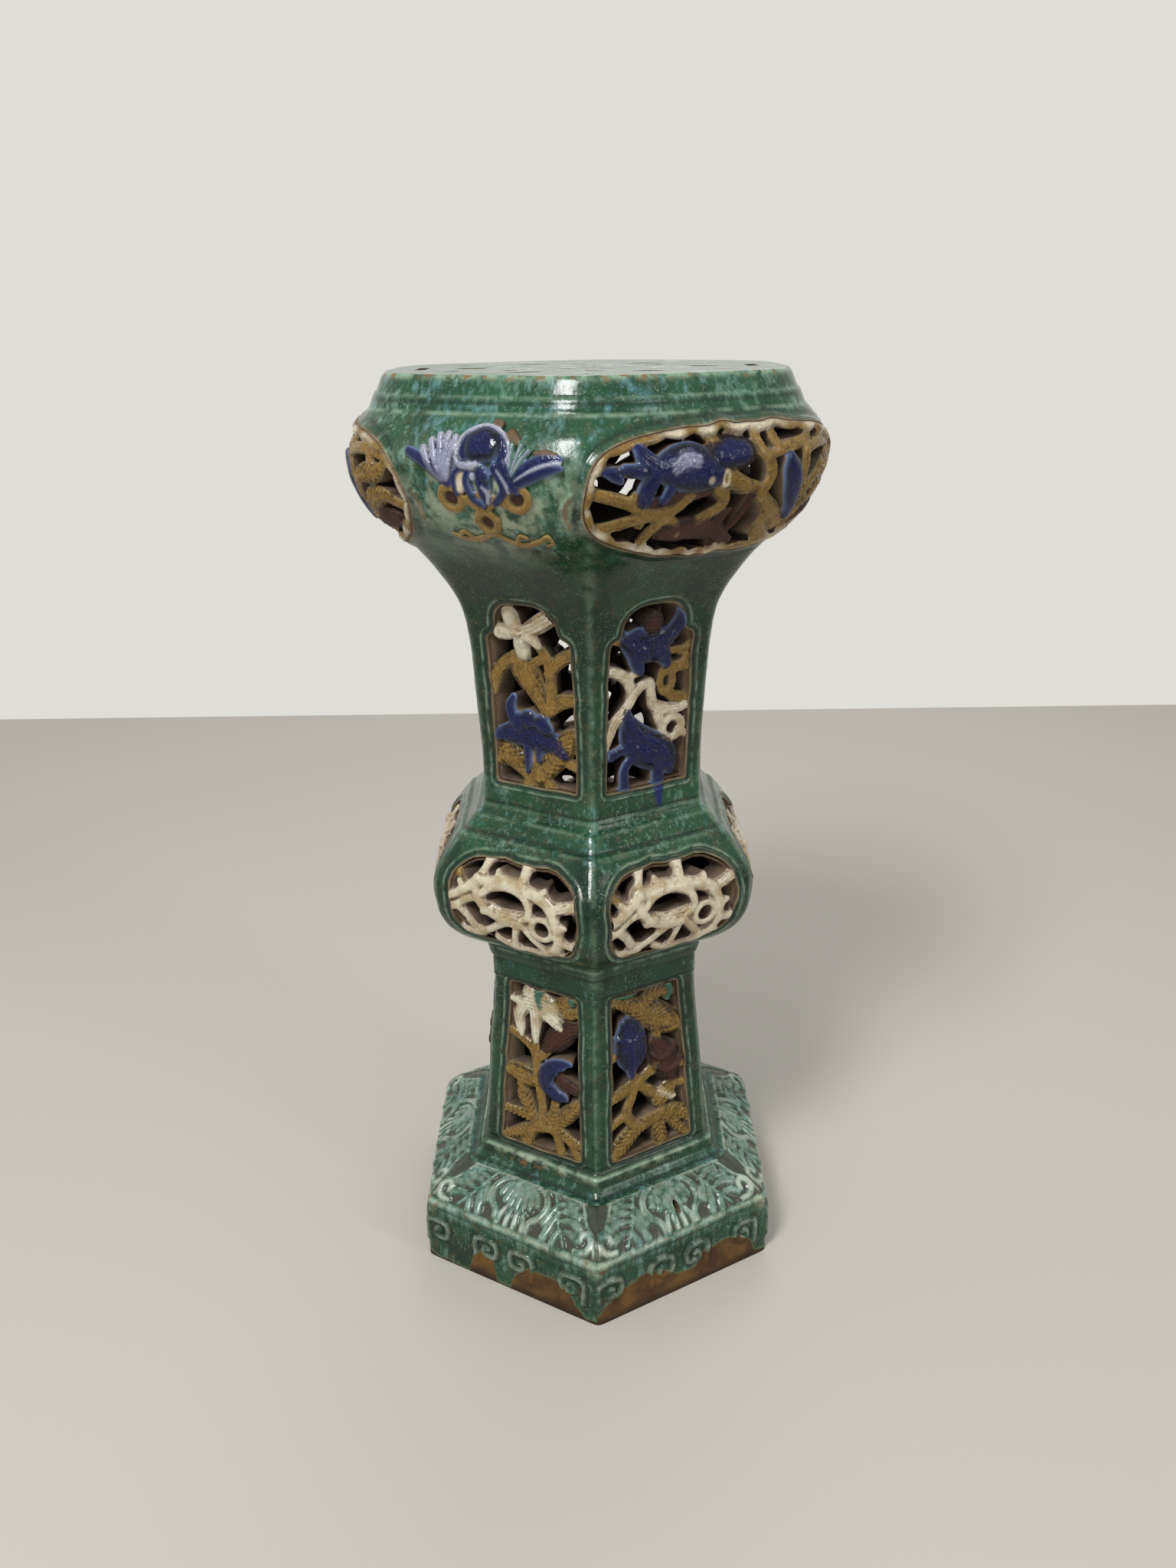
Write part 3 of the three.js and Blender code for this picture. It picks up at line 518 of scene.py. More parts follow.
# An outline through a few corner points, each rounded by its own radius (x, y, radius).
def roundedOutline(corners, steps=8):
    corners = [np.array(corner, float) for corner in corners]
    points = []
    for index, corner in enumerate(corners):
        before = corners[index - 1][:2] - corner[:2]
        after = corners[(index + 1) % len(corners)][:2] - corner[:2]
        reach = min(corner[2], 0.49 * np.linalg.norm(before), 0.49 * np.linalg.norm(after))
        start = corner[:2] + before / np.linalg.norm(before) * reach
        end = corner[:2] + after / np.linalg.norm(after) * reach
        t = np.linspace(0, 1, steps)[:, None]
        points.append((1 - t) ** 2 * start + 2 * t * (1 - t) * corner[:2] + t * t * end)
    return np.vstack(points)


# A closed oval ring of stroke points.
def ringOf(x, y, reachAcross, reachUp, width):
    turns = np.linspace(0, 2 * math.pi, 9)
    return [(x + reachAcross * math.cos(t), y + reachUp * math.sin(t), width) for t in turns]


# A window as a knife cuts it: straight runs get points of their own, and the line wavers slightly.
def handCut(outline, waver=0.45, spacing=6.0):
    closed = np.vstack([outline, outline[:1]])
    runs = []
    for start, end in zip(closed[:-1], closed[1:]):
        count = max(1, int(np.linalg.norm(end - start) // spacing))
        runs.append(start + (end - start) * np.linspace(0, 1, count, endpoint=False)[:, None])
    points = np.vstack(runs)
    out = points - points.mean(0)
    turn = np.arctan2(out[:, 1], out[:, 0])
    push = waver * (np.sin(7 * turn + 1) + 0.7 * np.sin(13 * turn + 2))
    return points + out / np.linalg.norm(out, axis=1, keepdims=True) * push[:, None]


# The windows' outlines on the unrolled faces: millimetres across from the middle, and height.
lowerWindow = handCut(roundedOutline([(-42, 117, 4), (42, 117, 4), (34, 279, 4), (-34, 279, 4)], 4))
knopWindow = handCut(roundedOutline([(-61, 339, 34), (61, 339, 34), (62, 416, 36), (-62, 416, 36)]), 0.8)
upperWindow = handCut(roundedOutline([
    (-38, 473, 2), (38, 473, 2), (38, 600, 6), (29, 603, 5), (27, 619, 10), (14, 629, 14),
    (-14, 629, 14), (-27, 619, 10), (-29, 603, 5), (-38, 600, 6)], 5))
cartoucheOutline = smoothPath([
    (-131, 716, 0), (-122, 744, 0), (-100, 758, 0), (-60, 765, 0), (0, 767, 0), (60, 765, 0), (100, 758, 0),
    (122, 744, 0), (131, 718, 0), (120, 695, 0), (98, 683, 0), (62, 675, 0), (22, 672, 0), (-30, 672, 0),
    (-68, 677, 0), (-103, 686, 0), (-124, 698, 0), (-131, 716, 0)])[:-1, :2]
cartoucheOutline = handCut(cartoucheOutline, 0.9)
bowlArc = 195.0  # radius on which the bowl's ornaments are measured along the arc


# Unrolled millimetres across a face to azimuth, measured from the face's middle.
def flatTurn(across, up):
    return np.arctan2(across, apothem(up))


def bowlTurn(across, up):
    return across / bowlArc + 0 * up


# A closed ring of grid lines, finer where the finer spans say so: [(start, end, spacing), ...].
def gridLines(spans):
    lines = [np.arange(start, end - 1e-6, (end - start) / max(1, round((end - start) / spacing)))
             for start, end, spacing in spans]
    return np.concatenate(lines + [np.array([spans[-1][1]])])


windowEdge = {
    "bareWidth": 0.7,
    "bareFade": 0.3,
    "rounding": 0.7,
    "roundingFade": 0.6,
    "grooveAt": 2.9,
    "grooveWidth": 1.0,
    "grooveDepth": 0.9,
    "ridgeAt": 5.6,
    "ridgeWidth": 1.2,
    "ridgeHeight": 0.9,
    "ridgeThin": 0.6,
}


# A bell of height 1 about a middle: it falls with the square of the distance over the width.
def bell(value, middle, width):
    return np.exp(-((value - middle) / width) ** 2)


# The moulding round a window: a bare edge, a groove and a raised line, all from the distance to it.
def windowRelief(distance):
    edge = windowEdge
    groove = bell(distance, edge["grooveAt"], edge["grooveWidth"])
    ridge = bell(distance, edge["ridgeAt"], edge["ridgeWidth"])
    rounding = edge["rounding"] * np.exp(-distance / edge["roundingFade"])
    height = edge["ridgeHeight"] * ridge - edge["grooveDepth"] * groove - rounding
    bare = 1 / (1 + np.exp((distance - edge["bareWidth"]) / edge["bareFade"]))
    return height, {"thin": edge["ridgeThin"] * ridge ** 2, "pooled": groove, "bare": bare}


# How near a place is to one of the hexagon's corners, as a share that fades over a few millimetres.
def cornerShare(azimuth, up, width=4.5):
    fromCorner = np.abs((azimuth + faceTurn) % sixth - faceTurn) * cornerRadius(up)
    return np.exp(-(fromCorner / width) ** 2)


# A value at the middle of each cell between neighbouring columns of a ring.
def betweenColumns(grid, beside):
    return 0.25 * (grid[:, :-1] + grid[:, 1:] + beside[:, :-1] + beside[:, 1:])


# The same on a flat panel's grid.
def cellMiddles(grid):
    return 0.5 * (grid[:-1, :-1] + grid[1:, 1:])


# A tier with windows: the skin in front, the same skin moved in behind, and cells missing in the windows.
def windowedTier(name, node, outline, turnOf, middles, lines, levelsUp, wall, extra, materials):
    across = np.concatenate([lines[:-1]] * len(middles))
    centre = np.repeat(np.array(middles), len(lines) - 1)[:, None]
    acrossGrid = np.repeat(across[:, None], len(levelsUp), 1).astype(float)
    upGrid = np.repeat(levelsUp[None], len(across), 0).astype(float)
    if turnOf is flatTurn:
        acrossGrid *= apothem(upGrid) / apothem(np.full_like(upGrid, levelsUp.mean()))

    def outside(a, u):
        return -outlineField(a, u, outline)[0]

    nextColumn = np.roll(acrossGrid, -1, 0)
    nextColumn = np.where(nextColumn < acrossGrid - 5, acrossGrid + 1.0, nextColumn)  # a new face begins
    middleUp = 0.5 * (upGrid[:, :-1] + upGrid[:, 1:])
    keep = fillPinches(outside(betweenColumns(acrossGrid, nextColumn), middleUp) > 0, True)
    slideToCut(acrossGrid, upGrid, outside, keep, 1.2)
    azimuth = centre + turnOf(acrossGrid, upGrid)
    height, shares = windowRelief(np.maximum(outside(acrossGrid, upGrid), 0))
    shares = {**shares, "blue": 0 * height, "cream": 0 * height}
    height, shares = extra(acrossGrid, upGrid, centre + 0 * azimuth, azimuth, height, shares)
    front = reliefPoint(azimuth, upGrid, height)
    back = skinPoint(azimuth, upGrid, wall)
    piece = makeShell(name, front, back, keep, True, shares, materials)
    dress(piece, node)


# The rim's width along a window: scallops of uneven size where the build has them.
def rimWidth(place, build):
    drift = build["scallopDrift"] * np.sin(place / build["driftSpacing"])
    phase = math.pi * place / build["scallopSpacing"] + drift
    return build["rim"] + build["scallop"] * np.abs(np.sin(phase))


# One openwork panel on its grid; the same clay is set into every third or sixth face.
def openwork(label, node, order, outline, strokes, turnOf, middle, cell, build, materials):
    low, high = outline.min(0), outline.max(0) + cell
    lines = [np.arange(low[axis], high[axis], cell) for axis in (0, 1)]
    across, up = np.meshgrid(*lines, indexing="ij")

    def carved(a, u):
        return carve(a, u, strokes, build["domeLimit"], build["spread"], build["soft"])

    def inside(a, u):
        depth, place = outlineField(a, u, outline)
        fillet, intoRim = build["fillet"], rimWidth(place, build) - depth
        solid = fillet * np.logaddexp(carved(a, u)[1] / fillet, intoRim / fillet)
        return np.minimum(solid, depth - build["clearance"])

    centreAcross, centreUp = cellMiddles(across), cellMiddles(up)
    keep = fillPinches(inside(centreAcross, centreUp) > 0, False)
    edge = outlineField(centreAcross, centreUp, outline)[0]
    keep = dropLoose(keep, (edge > 0) & (edge < build["rim"]))
    slideToCut(across, up, inside, keep, build["slide"] * cell)
    depth, place = outlineField(across, up, outline)
    height, _, shares = carved(across, up)
    rim = rimWidth(place, build)
    middleOfRim = (depth - 0.5 * rim) / (0.5 * rim)
    rimTop = build["rimTop"] - build["rimDome"] * (1 - np.sqrt(np.maximum(1 - middleOfRim ** 2, 0)))
    rimTop = np.where(depth > rim, rimTop - carving["sideSlope"] * (depth - rim), rimTop)
    rimShare = 1 / (1 + np.exp(np.clip((height - rimTop) / build["rimBlend"], -40, 40)))
    height = np.maximum(height, rimTop)
    shares = {paint: share * (1 - rimShare) for paint, share in shares.items()}
    shares["hollow"] += build["rimHollow"] * rimShare * np.clip(middleOfRim ** 2, 0, 1)
    patchy = np.sin(place / build["stainSpacing"] + 2 * np.sin(place / build["stainDrift"]))
    stain = build["rimStain"] * np.clip(0.5 + 0.7 * patchy, 0, 1)
    shares[build["rimPaint"]] += rimShare * (1 - stain)
    shares["ochre"] += rimShare * stain
    outerEdge = build["brownEdge"] * np.exp(-(depth / build["brownWidth"]) ** 4)
    shares = {paint: share * (1 - outerEdge) for paint, share in shares.items()}
    shares["brown"] += outerEdge
    shares["thin"] = np.exp(-np.maximum(inside(across, up), 0) / build["thinWidth"])
    azimuth = middle + turnOf(across, up)
    front = reliefPoint(azimuth, up, np.minimum(height, build["limit"]))
    back = skinPoint(azimuth, up, build["depth"])
    for third, number in enumerate(order):
        piece = makeShell(f"{label}{number}", front, back, keep, False, shares, materials, third)
        dress(piece, f"{node}_{number}")


# Unfolds {"paint grain": [(top, point, point, ...), ...]} into a (paint, grain, top, points) for each stroke.
def strokesOf(groups):
    return [(*look.split(), top, points) for look, runs in groups.items() for top, *points in runs]


# Left-hand faces of the upper column: a lotus over a blue bloom.
lotusStrokes = strokesOf({
    "ochre bark": [
        (-1.5, (3, 598, 7), (12, 588, 8), (16, 575, 9), (16, 551, 9), (14, 540, 8)),
        (-2, (14, 571, 7), (25, 583, 10), (40, 592, 8)),
        (-2, (15, 540, 7), (25, 549, 11), (40, 552, 9)),
        (-1.5, (-39, 551, 7), (-34, 566, 9), (-26, 576, 9), (-15, 582, 9), (-4, 577, 9)),
        (-2, (0, 578, 6), (12, 585, 7)),
        (-1, (1, 506, 5), (0, 494, 5), (-2, 482, 8)),
        (-2, (-22, 488, 7), (-10, 480, 7)),
        (-1.2, (-8, 470, 18), (-4, 482, 12), (0, 490, 6)),
        (-1.6, (14, 470, 12), (5, 484, 8)),
        (-2, (22, 500, 9), (39, 494, 9)),
    ],
    "ochre flute": [(-0.6, (-15, 584, 8), (-8, 572, 25), (2, 556, 18), (11, 540, 8))],
    "white plain": [
        (1.6, (-10, 606, 8), (-12, 613, 14), (-13, 618, 15)),
        (1.4, (-12, 604, 8), (-20, 604, 13), (-25, 603, 11)),
        (1.6, (-8, 601, 8), (-7, 594, 13), (-6, 588, 13)),
    ],
    "cream flute": [(1.0, (-3, 606, 7), (8, 611, 13), (18, 617, 13), (24, 620, 8))],
    "cream plain": [(0.8, (-3, 603, 7), (5, 599, 9), (9, 595, 5))],
    "cream hatch": [(2.8, (-9, 605, 9))],
    "blue flute": [
        (1.0, (-37, 513, 5), (-29, 516, 13), (-17, 518, 20), (-3, 517, 23), (10, 515, 21), (19, 511, 15),
         (27, 505, 7)),
    ],
    "blue plain": [
        (2.6, (-13, 532, 10), (-13, 526, 10)),
        (3.2, (-4, 532, 16)),
        (2.6, (8, 530, 14), (12, 526, 12)),
        (1.8, (-17, 550, 5), (-21, 541, 9), (-19, 531, 10), (-15, 524, 8)),
        (0.8, (-7, 508, 8), (-7, 496, 6), (-8, 486, 3)),
        (0.4, (4, 506, 6), (3, 497, 3)),
    ],
    "ochre vein": [
        (-0.6, (-38, 492, 10), (-27, 497, 22), (-16, 494, 14)),
        (-0.4, (3, 480, 7), (13, 494, 18), (25, 510, 20), (34, 524, 8)),
    ],
})

# Right-hand faces of the upper column: a blue creature with a ball over a running beast.
lionStrokes = strokesOf({
    "brown flute": [(2.2, (-2, 613, 19))],
    "blue plain": [
        (0.8, (-25, 601, 9), (-19, 600, 18), (-10, 594, 26), (1, 593, 27), (10, 596, 20), (18, 602, 15),
         (25, 612, 14), (24, 622, 7)),
        (2.6, *ringOf(-19, 600, 4.4, 4.4, 3.6)),
        (1.8, (-15, 589, 13), (-13, 581, 12), (-10, 574, 6)),
        (1.8, (6, 589, 13), (12, 583, 12), (15, 577, 7)),
        (2.6, *ringOf(-8, 588, 3.8, 3.8, 3.2)),
        (2.8, *ringOf(6, 588, 3.8, 3.8, 3.2)),
        (2.4, (12, 600, 4), (20, 604, 4.4), (26, 611, 4.4), (23, 618, 3.4)),
        (2.8, *ringOf(-1, 597, 3.6, 3.2, 2.8)),
        (2.6, (-24, 606, 3), (-16, 609, 5), (-9, 604, 3)),
        (2.8, (-18, 532, 6), (-14, 524, 9), (-8, 518, 6)),
        (2.6, (-4, 516, 3), (4, 511, 5), (13, 504, 5), (19, 495, 3)),
        (2.4, (-10, 508, 3), (-3, 502, 5), (4, 494, 3)),
        (2.4, (9, 500, 14)),
        (0.6, (-13, 500, 9), (-21, 490, 8), (-21, 471, 9)),
        (1.2, (11, 494, 13), (11, 482, 12), (12, 468, 13)),
        (1.0, (-12, 507, 9), (-24, 508, 8), (-33, 505, 9)),
    ],
    "ochre bark": [
        (-1.5, (-39, 603, 6), (-26, 600, 8)),
        (-1.4, *ringOf(25, 580, 10, 6.5, 5)),
        (-1.2, *ringOf(17, 562, 6, 11, 5)),
        (-1.6, (30, 584, 6), (39, 590, 7)),
        (-1.6, (14, 568, 6), (24, 570, 7), (39, 572, 7)),
        (-1.6, (17, 553, 6), (26, 546, 9), (39, 543, 8)),
    ],
    "cream bark": [
        (-0.6, (-39, 576, 7), (-32, 575, 8), (-20, 567, 9), (-15, 552, 8), (-22, 541, 8), (-31, 531, 9),
         (-39, 512, 6)),
        (-0.8, (-22, 568, 6), (-9, 573, 5)),
        (-0.6, (-16, 551, 7), (-7, 560, 8), (1, 561, 9), (3, 551, 8), (6, 542, 9), (15, 537, 11),
         (26, 536, 8), (39, 538, 6)),
        (-0.6, *ringOf(24, 520, 9, 9, 6)),
        (-0.8, (9, 540, 9), (12, 528, 8), (15, 522, 6)),
        (-1.4, (30, 516, 6), (39, 512, 6)),
    ],
    "blue hatch": [
        (1.6, (-20, 540, 5), (-18, 530, 14), (-12, 517, 26), (-1, 506, 32), (9, 501, 31), (18, 494, 22),
         (22, 485, 10)),
    ],
})

# Left-hand faces of the lower column: a white bellflower, a bud and a blue bloom.
bellflowerStrokes = strokesOf({
    "white flute": [
        (1.4, (-19, 262, 13), (-9, 262, 27), (4, 259, 25), (13, 254, 12)),
        (1.2, (-16, 272, 12), (-6, 280, 12)),
        (1.6, (-21, 257, 13), (-26, 247, 11), (-24, 237, 9), (-22, 229, 3)),
        (2.0, (-9, 253, 11), (-8, 241, 10), (-7, 227, 4)),
        (1.6, (3, 255, 11), (11, 250, 9), (18, 246, 4)),
    ],
    "white plain": [(0.8, (-18, 261, 9), (-26, 261, 8), (-33, 262, 4))],
    "green plain": [
        (2.3, (-5, 281, 6), (-5, 270, 6), (-3, 261, 3)),
        (1.0, (28, 281, 5), (29, 273, 4)),
    ],
    "ochre vein": [
        (-0.5, (6, 264, 5), (18, 269, 11), (33, 281, 9)),
        (-0.8, (10, 264, 4), (24, 260, 9), (38, 268, 7)),
        (-0.6, (-3, 140, 5), (-13, 152, 10), (-20, 166, 14), (-24, 180, 5)),
        (-0.6, (4, 141, 6), (11, 156, 9), (14, 178, 5)),
        (-0.4, (6, 138, 5), (19, 151, 13), (29, 163, 14), (38, 175, 6)),
        (-0.6, (-3, 140, 6), (-18, 146, 10), (-41, 147, 7)),
        (-0.4, (-3, 138, 7), (-18, 130, 11), (-31, 123, 9), (-42, 118, 5)),
        (-0.4, (2, 139, 8), (18, 139, 10), (30, 134, 10), (43, 130, 6)),
    ],
    "brown flute": [
        (0.6, (3, 222, 8), (11, 231, 21), (20, 240, 22), (29, 247, 12), (39, 251, 5)),
        (0.8, (19, 195, 9), (27, 190, 13), (38, 188, 8)),
    ],
    "blue plain": [
        (1.8, (30, 214, 3), (22, 212, 8), (11, 206, 13), (4, 196, 15), (5, 185, 14), (14, 178, 13),
         (24, 178, 7)),
        (2.8, (22, 208, 3), (12, 203, 4), (7, 194, 4), (9, 186, 3)),
    ],
    "ochre bark": [
        (-0.4, (-9, 236, 6), (-8, 212, 8), (-5, 190, 8), (-2, 170, 8), (0, 154, 8), (-1, 137, 9)),
        (-1, (-39, 230, 7), (-30, 227, 7), (-14, 219, 8), (-7, 207, 8)),
        (-1.4, (10, 228, 7), (2, 216, 7), (-6, 208, 7)),
        (-0.8, (-8, 135, 8), (-13, 126, 9), (-17, 114, 14)),
        (-0.8, (15, 136, 8), (19, 125, 8), (21, 113, 12)),
        (-1.2, (28, 133, 6), (36, 122, 6), (41, 116, 6)),
    ],
    "ochre hatch": [(-0.2, (-41, 190, 8), (-30, 188, 16), (-18, 186, 21), (-8, 184, 10))],
    "ochre plain": [(-1.5, (-6, 196, 6), (6, 198, 7))],
})

# Right-hand faces of the lower column: buds and a lobed leaf.
budStrokes = strokesOf({
    "ochre vein": [
        (0.2, (-38, 280, 6), (-31, 275, 11), (-19, 268, 13), (-5, 259, 21), (9, 250, 28), (23, 240, 25),
         (36, 232, 8)),
        (0, (-5, 262, 8), (6, 270, 13), (18, 271, 11), (29, 268, 4)),
        (0, (12, 151, 4), (-2, 147, 9), (-18, 138, 17), (-32, 127, 17), (-42, 118, 8)),
        (-0.2, (12, 150, 5), (10, 136, 13), (12, 122, 14), (12, 112, 6)),
        (-0.2, (13, 150, 5), (24, 148, 12), (34, 142, 13), (43, 133, 6)),
        (-0.6, (12, 149, 4), (24, 137, 9), (34, 124, 8), (42, 117, 5)),
    ],
    "green plain": [
        (1.7, (-30, 281, 5), (-19, 278, 5), (-8, 281, 5)),
        (1.7, (22, 281, 5), (26, 271, 5), (23, 263, 3)),
    ],
    "ochre bark": [
        (-1, (5, 248, 6), (11, 236, 7), (12, 222, 7)),
        (-0.4, (-10, 189, 11), (-25, 183, 12), (-41, 178, 9)),
        (-0.6, (-12, 188, 9), (-18, 174, 9), (-23, 160, 9), (-18, 148, 9), (-8, 141, 8), (6, 145, 6)),
        (-0.4, (-11, 188, 9), (-3, 193, 9), (6, 198, 10), (9, 206, 6)),
        (-0.6, (-11, 188, 8), (-4, 180, 9), (4, 173, 10), (14, 168, 8)),
        (-0.8, (-11, 190, 8), (-17, 198, 7), (-18, 206, 5)),
        (-1.4, (-30, 222, 8), (-40, 218, 7)),
        (-0.8, (14, 160, 7), (13, 150, 7)),
        (-1.4, (26, 196, 7), (40, 192, 6)),
        (-1.2, (-24, 158, 7), (-41, 150, 7)),
    ],
    "blue hatch": [
        (1.6, (-18, 246, 20), (-17, 232, 32), (-16, 220, 31), (-17, 208, 14), (-18, 198, 4)),
    ],
    "blue plain": [
        (2.8, (-29, 238, 3), (-22, 233, 4), (-12, 233, 4), (-5, 238, 3)),
        (2.6, (-17, 232, 4), (-16, 218, 4), (-17, 206, 3)),
    ],
    "brown flute": [(1.2, (8, 224, 8), (14, 213, 24), (19, 200, 30), (22, 190, 18), (25, 182, 5))],
    "brown plain": [
        (2.8, (5, 212, 3), (13, 207, 4), (22, 210, 4), (27, 218, 3)),
        (2.8, (10, 198, 3), (18, 193, 4), (28, 196, 4), (33, 203, 3)),
    ],
    "ochre hatch": [(1.1, (10, 163, 12), (17, 168, 19), (24, 176, 12))],
    "cream hatch": [
        (1.0, (12, 172, 8), (20, 166, 7)),
        (1.0, (24, 163, 8)),
    ],
    "ochre plain": [(-1.2, (24, 174, 7), (41, 172, 6))],
})

# Every face of the knop: one cream scroll.
scrollStrokes = strokesOf({
    "cream plain": [
        (2, (-64, 378, 6), (-52, 384, 7), (-42, 391, 8), (-34, 397, 9), (-22, 399, 8), (-8, 401, 9),
         (8, 399, 9), (22, 396, 10), (34, 391, 11), (41, 380, 9), (44, 366, 8), (41, 352, 8), (28, 342, 8),
         (12, 338, 8), (-4, 340, 7), (-17, 347, 6)),
        (1.6, (-35, 399, 8), (-34, 390, 9), (-30, 380, 8), (-23, 373, 8), (-12, 368, 8), (0, 366, 7),
         (8, 367, 6)),
        (2.2, (-28, 388, 5), (-20, 395, 7), (-5, 398, 7), (10, 394, 7), (17, 385, 6), (16, 376, 5),
         (9, 372, 3)),
        (1.8, *ringOf(29, 368, 9.5, 9.5, 4)),
        (0.6, (-6, 365, 7), (-16, 359, 6), (-26, 352, 6), (-40, 345, 7), (-56, 346, 7)),
        (1.2, (5, 367, 6), (1, 354, 5), (-2, 341, 6)),
        (1.2, (8, 368, 6), (18, 356, 6), (29, 344, 6)),
        (0.8, (6, 398, 8), (8, 407, 8), (9, 420, 11)),
        (0.8, (-34, 399, 8), (-30, 408, 6), (-26, 420, 9)),
        (0.8, (43, 362, 6), (51, 357, 8), (66, 357, 7)),
        (0.6, (-55, 371, 6), (-43, 380, 6), (-32, 383, 6)),
        (3.4, (-33, 399, 7)),
        (1.6, (-46, 388, 7), (-51, 394, 4)),
        (1.6, (-13, 401, 8), (-16, 407, 4)),
        (1.6, (25, 395, 8), (30, 401, 4)),
        (1.6, (44, 372, 8), (51, 375, 4)),
        (1.6, (37, 348, 8), (44, 346, 4)),
        (1.6, (-21, 374, 8), (-28, 371, 4)),
    ],
    "cream bark": [
        (-0.6, (-20, 377, 5), (-8, 372, 10), (8, 373, 10), (18, 374, 7)),
        (0.4, (38, 388, 8), (50, 392, 10), (66, 397, 8)),
        (0.2, (-66, 366, 6), (-55, 370, 8), (-46, 363, 7), (-39, 352, 7), (-33, 346, 6)),
    ],
    "ochre bark": [(-1.8, (-50, 395, 5), (-56, 402, 5), (-58, 412, 6))],
})

# The bowl's three cartouches: a blue fish or bird and brown wings among ochre twigs.
cartoucheStrokes = strokesOf({
    "blue plain": [
        (2.4, (-74, 741, 17), (-62, 741, 29), (-49, 740, 34), (-38, 736, 27), (-29, 734, 18)),
        (3.0, (-33, 732, 15)),
        (0.8, (-114, 740, 5), (-108, 738, 9), (-104, 734, 4)),
        (2.0, (-24, 747, 17), (-14, 748, 22), (-4, 748, 18)),
        (1.8, (40, 741, 9), (45, 731, 18), (51, 717, 17), (57, 704, 10), (60, 697, 4)),
    ],
    "white plain": [(3.4, (-34, 731, 5))],
    # The pearl patch on the fish's body is a painted highlight, partly the glaze run thin there.
    "pearl flute": [(3.0, (-64, 741, 9), (-56, 745, 15), (-47, 744, 10))],
    "blue flute": [
        (1.8, (-76, 742, 8), (-86, 748, 12), (-92, 755, 7)),
        (1.6, (-78, 740, 8), (-90, 740, 10), (-101, 742, 6)),
        (1.8, (-78, 737, 9), (-84, 728, 14), (-86, 720, 12)),
        (1.2, (-64, 732, 8), (-68, 724, 8), (-72, 718, 5)),
    ],
    "brown plain": [
        (-1.6, (-84, 716, 6), (-66, 717, 10), (-48, 719, 10), (-30, 722, 8)),
        (-0.2, (-26, 747, 22), (-14, 748, 28), (-2, 748, 23)),
        (0.9, (-66, 692, 8), (-56, 693, 16), (-44, 693, 19), (-33, 695, 14), (-25, 699, 7)),
    ],
    "ochre bark": [
        (-2, (-130, 738, 6), (-112, 741, 6), (-96, 738, 6)),
        (-0.6, (-130, 727, 8), (-112, 722, 9), (-97, 717, 9), (-84, 710, 8)),
        (-0.8, (-128, 698, 8), (-112, 700, 8), (-93, 704, 9), (-75, 707, 9), (-59, 710, 10), (-47, 720, 8)),
        (-0.8, (-75, 707, 8), (-62, 703, 7), (-54, 698, 6)),
        (-1, (-92, 722, 7), (-88, 710, 8), (-86, 700, 6)),
        (-0.8, (-68, 702, 8), (-76, 694, 9), (-84, 682, 8)),
        (-0.6, (-23, 724, 9), (-15, 716, 10), (-17, 709, 9), (-34, 700, 8)),
        (1.4, (-18, 731, 12), (-9, 728, 12), (2, 723, 11)),
        (-0.8, (2, 724, 9), (14, 720, 9), (20, 714, 9)),
        (-0.6, (10, 765, 7), (14, 750, 9), (21, 742, 9), (25, 730, 9), (20, 716, 9)),
        (-1, (22, 744, 6), (36, 748, 8), (50, 751, 8), (64, 755, 7), (70, 768, 7)),
        (-1, (33, 748, 7), (28, 758, 8), (27, 768, 8)),
        (-0.6, (19, 716, 9), (30, 708, 10), (41, 701, 11), (52, 694, 10), (62, 688, 9)),
        (-0.8, (36, 700, 8), (38, 690, 9), (48, 684, 9), (62, 678, 8), (66, 672, 8)),
        (-1, (60, 750, 7), (60, 738, 8), (60, 724, 7)),
        (-1, (-12, 742, 6), (-14, 732, 7)),
        (-1, (-22, 754, 6), (-34, 762, 7), (-40, 768, 7)),
        (-0.8, (60, 746, 8), (76, 750, 9), (96, 750, 9), (118, 744, 8), (130, 736, 7)),
        (-0.8, (72, 700, 7), (80, 690, 8), (82, 676, 8)),
        (-0.8, (104, 716, 8), (117, 710, 9), (131, 706, 8)),
        (-1, (98, 748, 7), (98, 738, 8)),
        (-1, (88, 750, 7), (86, 768, 8)),
        (-1, (104, 700, 8), (112, 692, 8), (116, 684, 8)),
        (-1, (66, 718, 8), (60, 712, 8), (58, 700, 8)),
    ],
    "brown flute": [
        (0.6, (-34, 690, 9), (-22, 692, 17), (-10, 690, 15), (2, 685, 9), (18, 680, 5)),
        (0.4, (-20, 693, 8), (-12, 701, 8), (-7, 707, 3)),
        (0.8, (80, 694, 8), (91, 697, 15), (100, 698, 14), (110, 702, 5)),
    ],
    "ochre plain": [(1.0, (-51, 692, 5))],
    "brown bark": [(-0.4, (12, 720, 6), (8, 704, 7), (5, 692, 6), (1, 678, 6))],
    "cream plain": [(1.8, *ringOf(-20, 731, 2.6, 5.0, 1.6))],
    "ochre vein": [
        (0.4, (76, 727, 5), (84, 731, 13), (95, 732, 17), (106, 734, 11), (115, 740, 5)),
        (-0.4, (60, 690, 6), (72, 702, 10), (86, 712, 16), (101, 716, 12), (112, 718, 4)),
    ],
    "ochre flute": [(-0.2, (78, 729, 5), (70, 722, 9), (64, 713, 4))],
})

